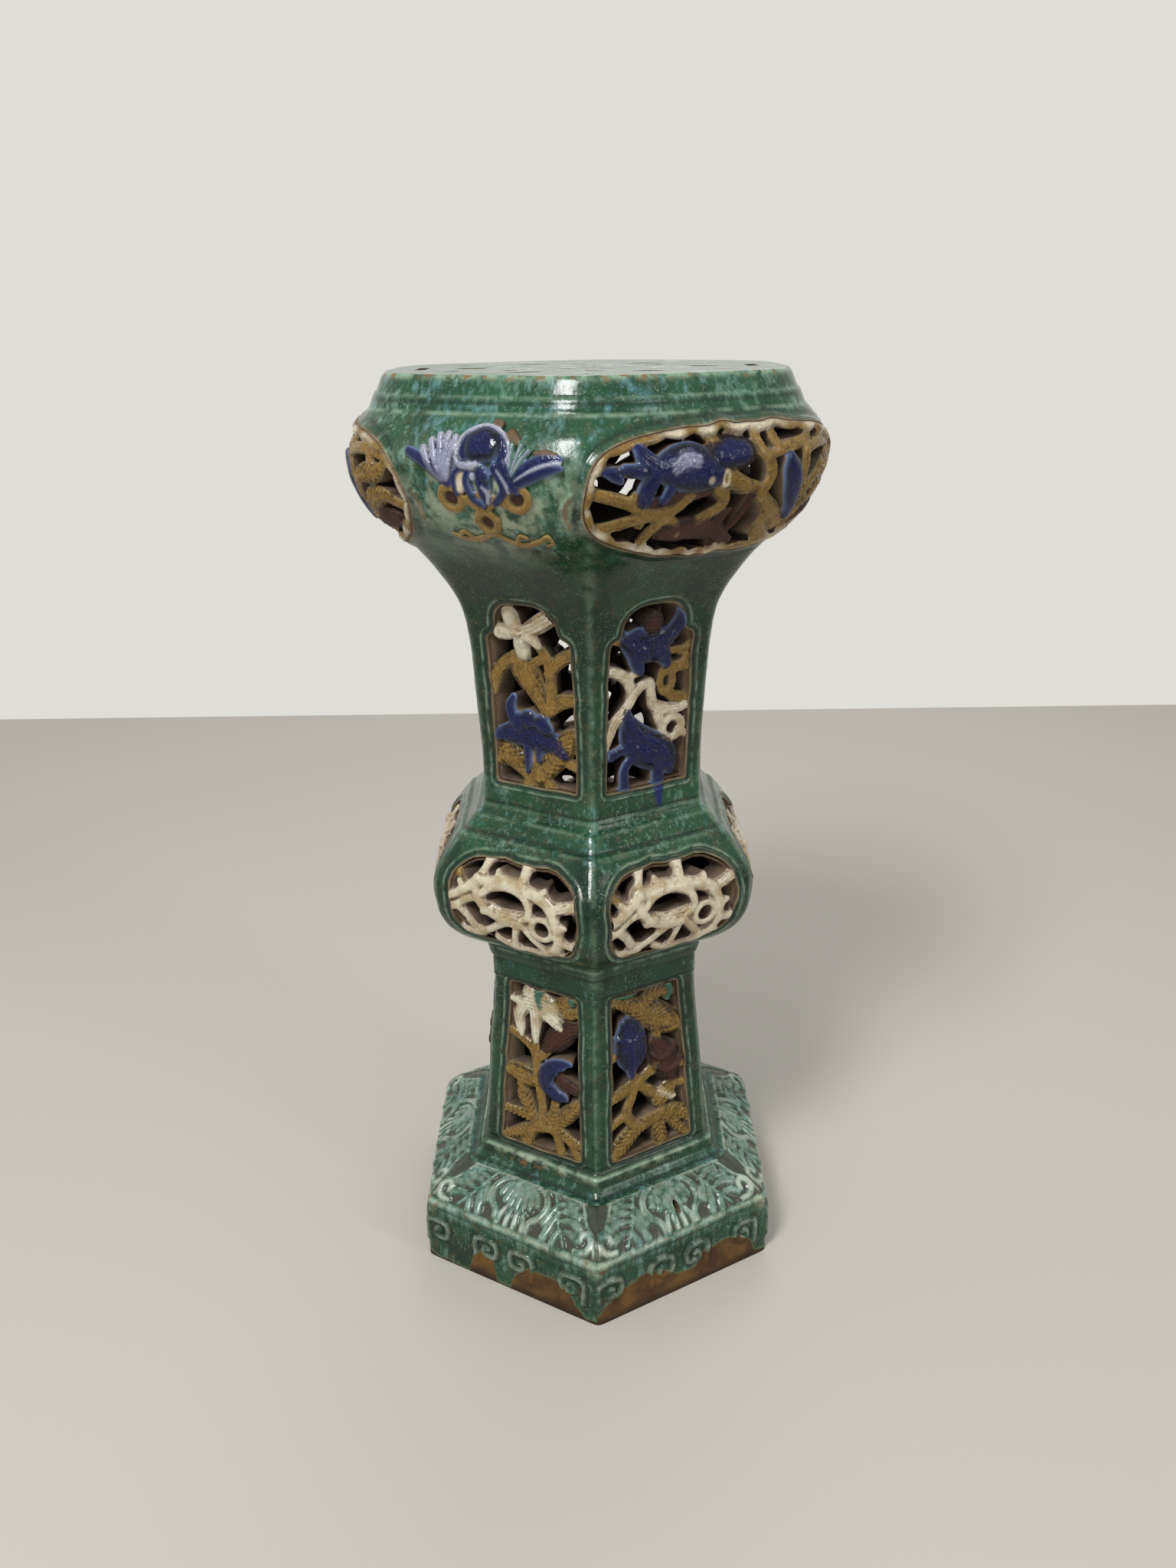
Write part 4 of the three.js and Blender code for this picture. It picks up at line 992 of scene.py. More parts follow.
# The applied sprigs of the bowl: a fruit between two fans, over a knot and a thin scroll.
sprigStrokes = strokesOf({
    "blue plain": [
        (6.6, (0, 754.5, 20), (5, 755.5, 22), (10, 755, 20)),
        (2.4, (-8, 742, 8), (-12, 751, 9), (-8, 759, 9), (5, 763, 8), (18, 759, 9), (22, 751, 9),
         (19, 742, 8)),
        (3.8, (-25, 731, 8), (-37, 739, 8.5), (-49, 746, 8), (-60, 750, 6.5)),
        (3.4, (28, 734, 6), (40, 743, 8), (52, 747.5, 8), (63, 748.5, 4.5)),
        (3.8, (27, 729, 7), (36, 734, 8), (46, 738.5, 8), (56, 742, 7), (64, 743, 3.5)),
        (4.4, (-12, 742, 6), (-19, 735, 6), (-18, 725, 5)),
        (4.8, (-5, 741, 6), (-8, 732, 6), (-4, 722, 6), (4, 717, 4)),
        (4.8, (5, 738, 12), (6, 730, 12), (7, 721, 6)),
        (6.0, (9, 737, 8)),
        (4.6, (16, 742, 7), (21, 735, 8), (22, 727, 6), (14, 719, 4)),
    ],
    "pearl plain": [
        (3.4, (-14, 743, 1.4), (-17, 752, 2), (-12, 762, 2), (5, 767.5, 1.8), (22, 762, 2), (27, 752, 2),
         (24, 743, 1.4)),
        (2.4, (-25, 731, 8), (-29, 741, 20), (-31, 747, 26)),
        *[(3.8, (-26 + 0.2 * reach, 733, 2.4), (-26 + 0.65 * reach, rise - 11, 4.4),
           (-26 + reach, rise, 5.2))
          for reach, rise in ((-21, 752), (-15, 757), (-8, 760), (-1, 761), (6, 759))],
        *[(3.5, (27 + 0.2 * reach, 738, 0.8), (27 + 0.6 * reach, 747, 1.3), (27 + reach, rise, 1.3))
          for reach, rise in ((2, 756), (9, 756), (15, 753))],
        (4.2, (32, 735, 0.8), (44, 741.5, 1.6), (55, 745, 1.6), (64, 746, 1)),
        (5.6, (-16, 747, 2.2), (-12, 743.5, 3.6), (-4, 742.5, 4), (2, 744, 2.6)),
        (5.6, (-1, 736, 5)),
        (5.3, (6, 730, 2), (10, 726, 3), (9, 720, 2)),
        (5.1, (19, 741, 1), (25, 733, 2), (27, 727, 1.6)),
    ],
    "clay plain": [
        (3.2, (12, 769.5, 4), (17, 768.5, 5)),
        (3.4, (27, 762, 9), (32, 759, 6)),
        (3.2, (46, 751.5, 2), (54, 752, 4), (61, 751, 2.4)),
    ],
    "green plain": [
        *[(3.0, (27 + 0.2 * reach, 735, 2), (27 + 0.6 * reach, 747, 4), (27 + reach, rise, 5))
          for reach, rise in ((2, 757), (9, 757), (15, 754))],
    ],
    "cream plain": [(4.0, (-13, 736, 8), (-14, 728, 7))],
    "blue flute": [(4.4, (23, 744, 9), (27, 735, 9), (32, 728, 6))],
    "ochre plain": [
        (3, *ringOf(-26, 720, 9, 8, 5.4)),
        (3, *ringOf(31, 722, 9, 8, 5.4)),
        (3, *ringOf(1, 704, 8.5, 8, 5.4)),
        (2.8, (-21, 727, 5), (-11, 718, 5.4), (2, 712, 5.4), (11, 706, 4.6)),
        (2.8, (25, 729, 5), (12, 719, 5.4), (0, 712, 5.4), (-8, 706, 4.6)),
        (2.6, (-20, 714, 5), (-10, 721, 5), (1, 724, 4.6), (12, 722, 5), (23, 716, 5)),
        (1.9, (-42, 692, 2.6), (-33, 689, 4), (-24, 688, 4.6), (-10, 691, 4.6), (-2, 694, 4.6),
         (8, 692, 4.6), (18, 687, 4.6), (30, 687, 4.6), (42, 691, 4), (50, 695, 3.4), (53, 690, 3),
         (48, 688, 2.4)),
        (1.9, (-22, 688, 4), (-28, 694, 4), (-34, 693, 2.6)),
        (1.9, (20, 688, 4), (26, 694, 3.6), (32, 693, 2.4)),
    ],
    # Brown fills the knot's ring holes: bare clay, darkened further as painted shade of the deep holes.
    "brown plain": [
        (0.5, (-26, 720, 12)),
        (0.5, (31, 722, 12)),
        (0.5, (1, 704, 11)),
        (0.5, (1, 718, 7)),
    ],
})

panelBuild = {
    "domeLimit": 4.0,
    "spread": 1.3,
    "soft": 1.3,
    "fillet": 0.8,
    "slide": 0.75,  # of a cell, the most that a vertex is moved onto a cut
    "clearance": 0.25,
    "depth": 17.5,
    "limit": 4.0,
    "rim": 2.2,
    "scallop": 0.0,
    "scallopSpacing": 10.0,
    "scallopDrift": 0.7,
    "driftSpacing": 43,
    "rimTop": -3.2,
    "rimDome": 0.6,
    "rimBlend": 0.3,
    "rimHollow": 0.7,
    "rimPaint": "clay",
    "rimStain": 0.0,
    "stainSpacing": 7.3,
    "stainDrift": 19,
    "brownEdge": 0.0,
    "brownWidth": 1.6,
    "thinWidth": 0.9,
}
scrollBuild = {**panelBuild, "spread": 1.2, "soft": 3.2}
cartoucheBuild = {
    **panelBuild,
    "rim": 3.8,
    "scallop": 2.4,
    "scallopSpacing": 23.0,
    "brownEdge": 0.95,
    "rimStain": 1.0,
    "rimTop": 2.2,
    "rimDome": 2.2,
    "rimPaint": "cream",
    "limit": 2.7,
    "depth": 16.0,
    "spread": 0.8,
}


# Points moved across to a middle, and mirrored first where hand is -1.
def placed(points, middle, hand=1):
    return [(middle + hand * x, up, width) for x, up, width in points]


leafBand = {  # millimetres across, and up the slope from the lip
    "middle": -2,
    "frame": [(-87, 4, 2), (-81, 17, 2), (-70, 26, 2), (-58, 41.5, 2), (-50, 43, 2), (50, 43, 2),
              (58, 41.5, 2), (68, 27, 2), (79, 18, 2), (85, 4, 2)],
    "ribs": ((-19, 27), (-13, 22), (-6.5, 19), (0, 18), (6.5, 19), (13, 22), (19, 27)),  # reach and tip
    "beads": (-12, -4, 4, 12),
    "swag": [(12, 44, 3), (22, 39, 5.5), (28, 29, 7), (25, 18, 6.6), (18, 11, 6), (17, 1, 5)],
    "swagCrease": [(12, 44, 0.5), (22, 39, 1.4), (28, 29, 1.8), (25, 18, 1.8), (18, 11, 1.6), (17, 1, 1)],
    "stem": [(31, 43, 1.8), (38, 31, 2), (46, 17, 2), (57, 3, 1.8)],
    "curl": [(68, 3, 4), (78, 5, 6), (81, 13, 7), (76, 20, 6.5), (70, 17, 5.5), (71, 12, 4)],
    "lobes": (
        ((37, 35, 2), (46, 38, 6.4), (54, 38, 7)),
        ((40, 29, 2), (51, 32, 7), (61, 31, 8)),
        ((44, 22, 2), (55, 24.5, 7), (66, 22, 8)),
        ((50, 14, 2), (59, 15, 6.4), (67, 11, 6.4)),
        ((37, 34, 2), (34, 26, 7), (31, 16, 8)),
        ((41, 27, 2), (38, 15, 8), (35, 4, 8)),
        ((48, 16, 2), (46, 8, 6.4), (45, 0, 6.4)),
    ),
    "creaseWidths": (0.6, 1.3, 0.5),
}


# The leaf band of the plinth: a ribbed shell in the middle, a swung band on either side of it,
# then a lobed leaf, and a curl in the corner.
def leafBandStrokes():
    middle = leafBand["middle"]
    strokes = [("white", "plain", 2.0, leafBand["frame"])]
    for reach, tip in leafBand["ribs"]:
        rib = [(0.2 * reach, 42, 3), (0.8 * reach, 0.5 * tip + 22, 5.4), (reach, tip, 6.2)]
        strokes.append(("green", "plain", 2.5, placed(rib, middle)))
    for reach in leafBand["beads"]:
        bead = [(0.8 * reach, 15, 4), (reach, 8, 5.4), (1.1 * reach, 1, 4.6)]
        strokes.append(("white", "plain", 2.3, placed(bead, middle)))
    for hand in (-1, 1):
        for paint, top, form in (("white", 2.3, "swag"), ("clay", 2.4, "swagCrease"), ("green", 2.1, "stem"),
                                 ("white", 2.5, "curl")):
            strokes.append((paint, "plain", top, placed(leafBand[form], middle, hand)))
        for lobe in leafBand["lobes"]:
            crease = [(x, up, width) for (x, up, _), width in zip(lobe, leafBand["creaseWidths"])]
            strokes.append(("green", "plain", 2.4, placed(lobe, middle, hand)))
            strokes.append(("clay", "plain", 2.45, placed(crease, middle, hand)))
    return strokes


keyFret = {
    "hooks": ((-80, 1), (-26, 1), (12, -1), (66, -1)),  # middle and hand
    "path": ((-11, 20), (-11, 43), (10, 43), (10, 28), (-2, 28), (-2, 35), (3, 35)),
    "width": 4.6,
    "height": 2.2,
    "ditch": 0.9,
}


# The key fret of the apron: square hooks, each up one side, across and curled in.
def fretStrokes():
    path = [(x, up, keyFret["width"]) for x, up in keyFret["path"]]
    return [placed(path, middle, hand) for middle, hand in keyFret["hooks"]]


print("shapes described")


# A noise turned into a share: nought below low, one above high, smooth between.
# Its scale counts cells in a metre, so 30 gives patches about 33 mm across and 520 specks of 2 mm.
def patches(tree, place, scale, detail, low, high):
    noise = addNode(tree, "ShaderNodeTexNoise", None, {"Vector": place, "Scale": scale, "Detail": detail})
    span = addNode(tree, "ShaderNodeMapRange", {"interpolation_type": "SMOOTHSTEP"},
                   {0: noise.outputs["Fac"], 1: low, 2: high, 3: 0.0, 4: 1.0})
    return span.outputs[0]


# Shares joined in turn by one operation. Each is an attribute's name, patches as (scale, detail, low, high),
# another node's output or a number.
def joined(tree, place, operation, *shares):
    result = None
    for share in shares:
        if isinstance(share, str):
            share = addNode(tree, "ShaderNodeAttribute", {"attribute_name": share}).outputs["Fac"]
        elif isinstance(share, tuple):
            share = patches(tree, place, *share)
        if result is not None:
            both = addNode(tree, "ShaderNodeMath", {"operation": operation}, {0: result, 1: share})
            share = both.outputs[0]
        result = share
    return result


# Colours laid over a first one in turn: (tone, share, share, ...), where the shares multiply.
def layered(tree, place, colour, *layers):
    for tone, *shares in layers:
        cover = joined(tree, place, "MULTIPLY", *shares)
        shade = linear(tone) if isinstance(tone, str) else tone
        colour = addNode(tree, "ShaderNodeMix", {"data_type": "RGBA", "clamp_factor": True},
                         {0: cover, 6: colour, 7: shade}).outputs[2]
    return colour


# A noise that swings about nought: what it has over its middle, times a reach.
def swing(tree, place, reach, settings, stretch=None):
    if stretch:
        place = addNode(tree, "ShaderNodeMapping", None, {"Vector": place, "Scale": stretch}).outputs[0]
    noise = addNode(tree, "ShaderNodeTexNoise", None, {"Vector": place, **settings})
    offset = joined(tree, place, "SUBTRACT", noise.outputs["Fac"], 0.5)
    return joined(tree, place, "MULTIPLY", offset, reach)


def newMaterial(name):
    material = bpy.data.materials.new(name)
    material.use_nodes = True
    tree = material.node_tree
    place = addNode(tree, "ShaderNodeTexCoord").outputs["Object"]
    return material, tree, tree.nodes["Principled BSDF"], place


# Two bumps, one on the other, each (scale, strength, detail): slow waves of the glaze, then a fine grain.
def glazeBump(tree, place, *waves):
    normal = {}
    for scale, strength, detail in waves:
        noise = addNode(tree, "ShaderNodeTexNoise", None, {"Vector": place, "Scale": scale, "Detail": detail})
        bump = addNode(tree, "ShaderNodeBump", None, {"Height": noise.outputs["Fac"], "Strength": strength,
                                                      "Distance": millimetre, **normal})
        normal = {"Normal": bump.outputs[0]}
    return bump.outputs[0]


copperLook = {
    "deep": "#09281A",
    "mid": "#23583C",
    "pale": "#86AE9C",
    "cool": "#6397A0",
    "spot": "#B4C6AE",
    "thin": "#93AD94",
    "pooled": "#08201A",
    "rust": "#7C5A30",
    "blue": "#10205C",
    "cream": "#A9B39A",
    "clay": ("#6A553C", "#A08A68"),
    "blotches": (1.9, {"Scale": 30.0, "Detail": 6.0, "Distortion": 0.5}, (1, 1, 0.6)),  # 33 mm
    "runs": (2.2, {"Scale": 230.0, "Detail": 6.0}, (1, 1, 0.2)),  # 4 mm across and 22 mm long
    "clouds": (2.9, {"Scale": 60.0, "Detail": 10.0, "Roughness": 0.7}),  # 17 mm
    "paleGain": 1.5,
    "paleCover": 0.85,
    "coolPatches": (14.0, 4.0, 0.42, 0.62),  # 71 mm
    "specks": (520.0, 5.0, 0.55, 0.7),  # 2 mm, in clusters of 26 mm
    "clusters": (38.0, 5.0, 0.34, 0.62),
    "speckCover": (0.25, 0.18),  # more of them where the glaze is pale, and some everywhere
    "thinPatches": (95.0, 6.0, 0.32, 0.6),  # 11 mm
    "pooledCover": 0.8,
    "curds": (75.0, 7.0, 0.42, 0.6),  # 13 mm
    "rustPatches": (140.0, 6.0, 0.52, 0.64),  # 7 mm
    "clayPatches": (60.0, 6.0, 0.3, 0.7),
    "roughness": (0.18, 0.8),  # on the glaze and on bare clay
    "rustDullness": 0.7,
    "specular": 0.38,
    "bumps": ((70.0, 0.5, 2.0), (420.0, 0.12, 4.0)),  # 14 mm waves and a 2 mm grain
}


# Copper-green lead glaze, dipped and run: deep where it pools, turquoise and cream where it ran thin.
# The eye gets slow blotches, runs down the wall and a fine pale speckle, under a wet shine.
def greenGlaze(name, look):
    material, tree, shader, place = newMaterial(name)
    # The pale share comes from the table by height, so it carries painted light and shade as well as the
    # glaze's own turn to turquoise.
    pale = joined(tree, place, "ADD", "pale")
    toMid = joined(tree, place, "ADD", pale, swing(tree, place, *look["blotches"]))
    lifted = joined(tree, place, "MULTIPLY", joined(tree, place, "SUBTRACT", pale, 0.5), look["paleGain"])
    runs, clouds = (swing(tree, place, *look[wave]) for wave in ("runs", "clouds"))
    waving = joined(tree, place, "ADD", runs, clouds)
    toPale = addNode(tree, "ShaderNodeMath", {"operation": "ADD", "use_clamp": True}, {0: lifted, 1: waving})
    paleTone = layered(tree, place, linear(look["pale"]), (look["cool"], look["coolPatches"]))
    onPale, everywhere = look["speckCover"]
    speckled = joined(tree, place, "ADD", joined(tree, place, "MULTIPLY", pale, onPale), everywhere)
    worn = joined(tree, place, "MULTIPLY", "worn", look["rustPatches"])
    darkClay, lightClay = look["clay"]
    clay = layered(tree, place, linear(darkClay), (lightClay, look["clayPatches"]))
    colour = layered(
        tree, place, linear(look["deep"]),
        (look["mid"], toMid),
        (paleTone, toPale.outputs[0], look["paleCover"]),
        (look["spot"], look["specks"], look["clusters"], speckled),
        (look["thin"], "thin", look["thinPatches"]),
        (look["pooled"], "pooled", look["pooledCover"]),
        (look["cream"], "cream", look["curds"]),
        (look["blue"], "blue"),
        (look["rust"], worn),
        (clay, "bare"),
    )
    tree.links.new(colour, shader.inputs["Base Color"])
    dull = joined(tree, place, "MAXIMUM", "bare", joined(tree, place, "MULTIPLY", worn, look["rustDullness"]))
    shiny, dry = look["roughness"]
    rough = addNode(tree, "ShaderNodeMapRange", None, {0: dull, 1: 0.0, 2: 1.0, 3: shiny, 4: dry})
    tree.links.new(rough.outputs[0], shader.inputs["Roughness"])
    shader.inputs["Specular IOR Level"].default_value = look["specular"]
    tree.links.new(glazeBump(tree, place, *look["bumps"]), shader.inputs["Normal"])
    return material


footLook = {
    **copperLook,
    "thin": "#C3CDBE",
    "pale": "#8FB0A0",
    "cool": "#7DA5A0",
    "ground": "#41443A",
    "rim": "#5B6A4A",
    "nearFloorDark": "#1E160E",
    "body": ("#432D12", "#6E4E24"),
    "bodyPatches": (45.0, 6.0, 0.32, 0.68),  # 22 mm
    "ragged": (12.0, {"Scale": 110.0, "Detail": 5.0}),  # 9 mm
    "underFade": (0.6, -0.6, 1.0),  # millimetres above the line where it starts and ends, and how strong
    "rimFade": (3.5, 0.5, 0.8),
    "nearFloorDarkFade": (0.010, 0.002, 0.85),  # metres above the floor
    "bareRoughness": 0.75,
}


# The same glaze on the foot, where the dip stopped short: a ragged line, and bare tan clay below it.
def footGlaze(name, look):
    material = greenGlaze(name, look)
    tree = material.node_tree
    shader = tree.nodes["Principled BSDF"]
    place = addNode(tree, "ShaderNodeTexCoord").outputs["Object"]
    glazed = shader.inputs["Base Color"].links[0].from_socket
    shine = shader.inputs["Roughness"].links[0].from_socket
    level = joined(tree, place, "ADD", "aboveGlazeLine", swing(tree, place, *look["ragged"]))
    height = addNode(tree, "ShaderNodeSeparateXYZ", None, {0: place}).outputs[2]
    fades = {}
    for fade, source in (("underFade", level), ("rimFade", level), ("nearFloorDarkFade", height)):
        start, end, most = look[fade]
        fades[fade] = addNode(tree, "ShaderNodeMapRange", None,
                              {0: source, 1: start, 2: end, 3: 0.0, 4: most}).outputs[0]
    darkBody, lightBody = look["body"]
    # The bare clay turns darker over its lowest 10 mm, towards the floor.
    clay = layered(tree, place, linear(darkBody), (lightBody, look["bodyPatches"]),
                   (look["nearFloorDark"], fades["nearFloorDarkFade"]))
    colour = layered(tree, place, glazed, (look["ground"], "ground"), (look["rim"], fades["rimFade"]),
                     (clay, fades["underFade"]))
    tree.links.new(colour, shader.inputs["Base Color"])
    bareRough = joined(tree, place, "MULTIPLY", fades["underFade"], look["bareRoughness"])
    tree.links.new(joined(tree, place, "MAXIMUM", shine, bareRough), shader.inputs["Roughness"])
    return material


brushedLook = {
    "mottle": {"Scale": 150.0, "Detail": 6.0, "Roughness": 0.65},  # 7 mm
    "mottleReach": 2.6,
    "flecksAndGlints": (420.0, 4.0, 0.54, 0.7),  # 2 mm
    "fleckAndGlintCover": 0.3,
    "blueGlintFleckCover": 0.1,
    "stain": "#94743F",
    "stainPatches": (75.0, 6.0, 0.46, 0.62),  # 13 mm
    "stainCover": 0.6,
    "roughness": (0.09, 0.6),  # on glaze, and on the brown and the bare clay
    "specular": 0.35,
    "bumps": ((170.0, 0.75, 2.0), (600.0, 0.16, 4.0)),  # 6 mm waves and a 2 mm grain
}


# Openwork glazes painted side by side on one slab: each place holds shares of the brushed colours.
# The eye gets worn thin edges, darker hollows and a gloss that the brown lacks.
def paintedGlaze(name, look):
    material, tree, shader, place = newMaterial(name)
    mottle = addNode(tree, "ShaderNodeTexNoise", None, {"Vector": place, **look["mottle"]})
    sunk = joined(tree, place, "SUBTRACT", 0.5, mottle.outputs["Fac"])
    hollow = addNode(tree, "ShaderNodeMath", {"operation": "MULTIPLY_ADD", "use_clamp": True},
                     {0: sunk, 1: look["mottleReach"], 2: joined(tree, place, "ADD", "hollow")})
    # Pale flecks of thin tone: speckle in the glaze, and painted glints that stand for broken highlights.
    flecksAndGlints = patches(tree, place, *look["flecksAndGlints"])
    total = None
    for paint, (pooled, body, pale, wornShare) in glazeTones.items():
        stains = [(look["stain"], look["stainPatches"], look["stainCover"])] * (paint in ("cream", "white"))
        fleckAndGlintCover = look["blueGlintFleckCover"] if paint == "blue" else look["fleckAndGlintCover"]
        thin = joined(tree, place, "MAXIMUM", joined(tree, place, "MULTIPLY", "thin", wornShare),
                      joined(tree, place, "MULTIPLY", flecksAndGlints, fleckAndGlintCover))
        colour = layered(tree, place, linear(body), (pooled, hollow.outputs[0]), *stains, (pale, thin))
        part = addNode(tree, "ShaderNodeVectorMath", {"operation": "SCALE"},
                       {0: colour, "Scale": joined(tree, place, "ADD", paint)}).outputs[0]
        if total is not None:
            part = addNode(tree, "ShaderNodeVectorMath", {"operation": "ADD"}, {0: total, 1: part}).outputs[0]
        total = part
    tree.links.new(total, shader.inputs["Base Color"])
    matt = joined(tree, place, "MAXIMUM", "brown", "clay")
    shiny, dry = look["roughness"]
    rough = addNode(tree, "ShaderNodeMapRange", None, {0: matt, 1: 0.0, 2: 1.0, 3: shiny, 4: dry})
    tree.links.new(rough.outputs[0], shader.inputs["Roughness"])
    shader.inputs["Specular IOR Level"].default_value = look["specular"]
    tree.links.new(glazeBump(tree, place, *look["bumps"]), shader.inputs["Normal"])
    return material


clayLook = {
    "grain": (55.0, 6.0, 0.3, 0.7),  # 18 mm
    "stain": "#5E4A34",
    "stains": (22.0, 4.0, 0.54, 0.7),  # 45 mm
    "stainCover": 0.4,
    "paintedShade": "#17120E",
    "paintedShadeCover": 0.85,
    "paintedShadePower": 0.7,
    "roughness": 0.85,
    "bumps": ((160.0, 0.5, 2.0), (900.0, 0.35, 4.0)),  # 6 mm waves and a 1 mm grit
}


# Clay that was cut with a wire while leather-hard and never glazed: dry, grey-brown, faintly dragged.
def cutClay(name, dark, light):
    look = clayLook
    material, tree, shader, place = newMaterial(name)
    # Painted shade: the cut walls darken towards the inner wall, deeper into the holes, and the inner wall is
    # darkest.
    paintedShade = joined(tree, place, "POWER", "inward", look["paintedShadePower"])
    colour = layered(tree, place, linear(dark), (light, look["grain"]),
                     (look["stain"], look["stains"], look["stainCover"]),
                     (look["paintedShade"], paintedShade, look["paintedShadeCover"]))
    tree.links.new(colour, shader.inputs["Base Color"])
    shader.inputs["Roughness"].default_value = look["roughness"]
    tree.links.new(glazeBump(tree, place, *look["bumps"]), shader.inputs["Normal"])
    return material


makeCamera(cameraSetup)
makeStudio(studio)
print("camera and studio set")

painted = paintedGlaze("brushedGlazes", brushedLook)
cut = cutClay("cutClay", "#54463A", "#8A7660")
# The inner clay is the cut clay again, a shade darker: painted shade for the inside of the stand.
inner = cutClay("innerClayInShade", "#4A3C30", "#7A6650")
copper = greenGlaze("copperGlaze", copperLook)
foot = footGlaze("footGlaze", footLook)
print("glazes mixed")

faceMiddles = [-faceTurn + sixth * index for index in range(6)]


# How far the glaze has turned from deep green to turquoise at each height of the stand, with painted light
# mixed in: painted shade keeps the upright apron darker, painted light makes the knop's upturned shoulder
# paler.
paleAndPaintedLightLevels = np.array([
    (0, 0.36), (48, 0.45), (62, 0.75), (92, 0.6), (100, 0.3), (112, 0.12), (270, 0.12), (290, 0.3),
    (316, 0.22), (330, 0.16), (400, 0.2), (425, 0.38), (445, 0.42), (462, 0.4), (476, 0.12), (600, 0.06),
    (650, 0.06), (672, 0.22), (700, 0.55), (745, 0.62), (770, 0.5), (800, 0.55),
])


def palenessAndPaintedLight(up):
    return np.interp(up, paleAndPaintedLightLevels[:, 0], paleAndPaintedLightLevels[:, 1])


# A blot: a bell in two directions at once.
def blot(x, y, middle, reach):
    return np.exp(-((x - middle[0]) / reach[0]) ** 2 - ((y - middle[1]) / reach[1]) ** 2)


columnMarks = {
    "cornerThin": 0.25,
    "cornerWidth": 2.5,
    "cornerPale": 0.15,
    "bandThinAndHighlight": 0.3,
    "dripEdge": 0.8,
    "dripHeight": 0.7,
    "worn": 0.12,
}


# Marks on a column's wall: pale corners, raised and sunk bands (level, height, width), and runs of blue
# on the right-hand faces, where a beast dripped.
def columnExtra(bands, drips):
    marks = columnMarks

    def extra(across, up, centre, azimuth, height, shares):
        pale = cornerShare(azimuth, up)
        shares["thin"] = shares["thin"] + marks["cornerThin"] * cornerShare(azimuth, up, marks["cornerWidth"])
        shares["thin"] = np.clip(shares["thin"], 0, 1)
        shares["pale"] = palenessAndPaintedLight(up) + marks["cornerPale"] * pale
        for level, rise, width in bands:
            band = bell(up, level, width)
            height = height + rise * band
            shares["pooled"] = np.clip(shares["pooled"] + band * (rise < 0), 0, 1)
            # Raised bands get a pale line along them: thin glaze, and a painted highlight along the ledge.
            shares["thin"] = np.clip(shares["thin"] + marks["bandThinAndHighlight"] * band ** 2 * (rise > 0), 0, 1)
        onRight = (np.round((centre - faceTurn) / sixth) % 2) == 0
        for points in drips:
            share = np.clip(strokeField(across, up, points)[0] / marks["dripEdge"] + 0.5, 0, 1) * onRight
            shares["blue"] = np.maximum(shares["blue"], share)
            height = height + marks["dripHeight"] * share
        shares["worn"] = marks["worn"] + 0 * height
        return height, shares
    return extra


# Grid lines as (start, end, spacing), and each face's bands as (level, height, width).
columnBuilds = {
    "lowerColumn": {
        "node": "lower_column",
        "window": lowerWindow,
        "wall": 13.0,
        "across": [(-59.5, -48, 1.6), (-48, -30, 1.0), (-30, 30, 3.0), (30, 48, 1.0), (48, 59.5, 1.6)],
        "up": [(112, 124, 1.0), (124, 268, 3.0), (268, 283, 1.0)],
        "bands": [(113.5, -0.6, 1.2)],
        "drips": [],
    },
    "knopShell": {
        "node": "knop",
        "window": knopWindow,
        "wall": 12.0,
        "across": [(-84.0, -72, 1.6), (-72, -30, 1.1), (-30, 30, 2.4), (30, 72, 1.1), (72, 84.0, 1.6)],
        "up": [(316, 332, 1.6), (332, 358, 1.0), (358, 392, 1.8), (392, 444, 1.1)],
        "bands": [(427, 0.9, 1.3), (430.5, -0.7, 1.2), (441, 0.7, 1.4), (319, 0.5, 1.2)],
        "drips": [],
    },
    "upperColumn": {
        "node": "upper_column",
        "window": upperWindow,
        "wall": 13.0,
        "across": [(-55.5, -46, 1.6), (-46, -24, 1.0), (-24, 24, 1.8), (24, 46, 1.0), (46, 55.5, 1.6)],
        "up": [(444, 464, 1.4), (464, 480, 1.0), (480, 592, 3.2), (592, 640, 1.1)],
        "bands": [(449, 0.7, 1.6), (453, -0.5, 1.2)],
        "drips": [[(10, 476, 9), (11, 466, 8), (12, 456, 5)]],
    },
}


# A column or the knop: one tier with the same window in each of its six faces.
def column(name):
    build = columnBuilds[name]
    windowedTier(name, build["node"], build["window"], flatTurn, faceMiddles, gridLines(build["across"]),
                 gridLines(build["up"]), build["wall"], columnExtra(build["bands"], build["drips"]),
                 [copper, inner])


ornamentTurn = math.radians(37.0)
sprigTurn = math.radians(-23.9)

bowlBuild = {
    "across": [(-136, -90, 1.4), (-90, 90, 2.2), (90, 136, 1.4)],  # fine lines at an opening's ends
    "beside": 2.6,  # spacing between the openings
    "up": [(640, 666, 2.2), (666, 692, 1.1), (692, 745, 1.7), (745, 777, 1.1)],
    "wall": 12.0,
    "bareFade": 0.8,
    "lip": (1.2, 4),  # height and width
    "ditch": (0.6, 6, 2.0),  # depth, place and width
    "pooled": (0.8, 6, 2.2),
    "curds": ((0, 716), (62, 30)),  # round the middle between two openings
    "curdShare": (1.1, 0.8),
    "cornerThin": (0.25, 5.0, 700),
    "rimThin": (0.6, 775, 1.2),
    "ear": [(137, 725, 3), (142, 715, 5.5), (139, 703, 4)],
    "earHeight": 1.8,
    "worn": 0.1,
    "darkened": (0.15, 12),
}


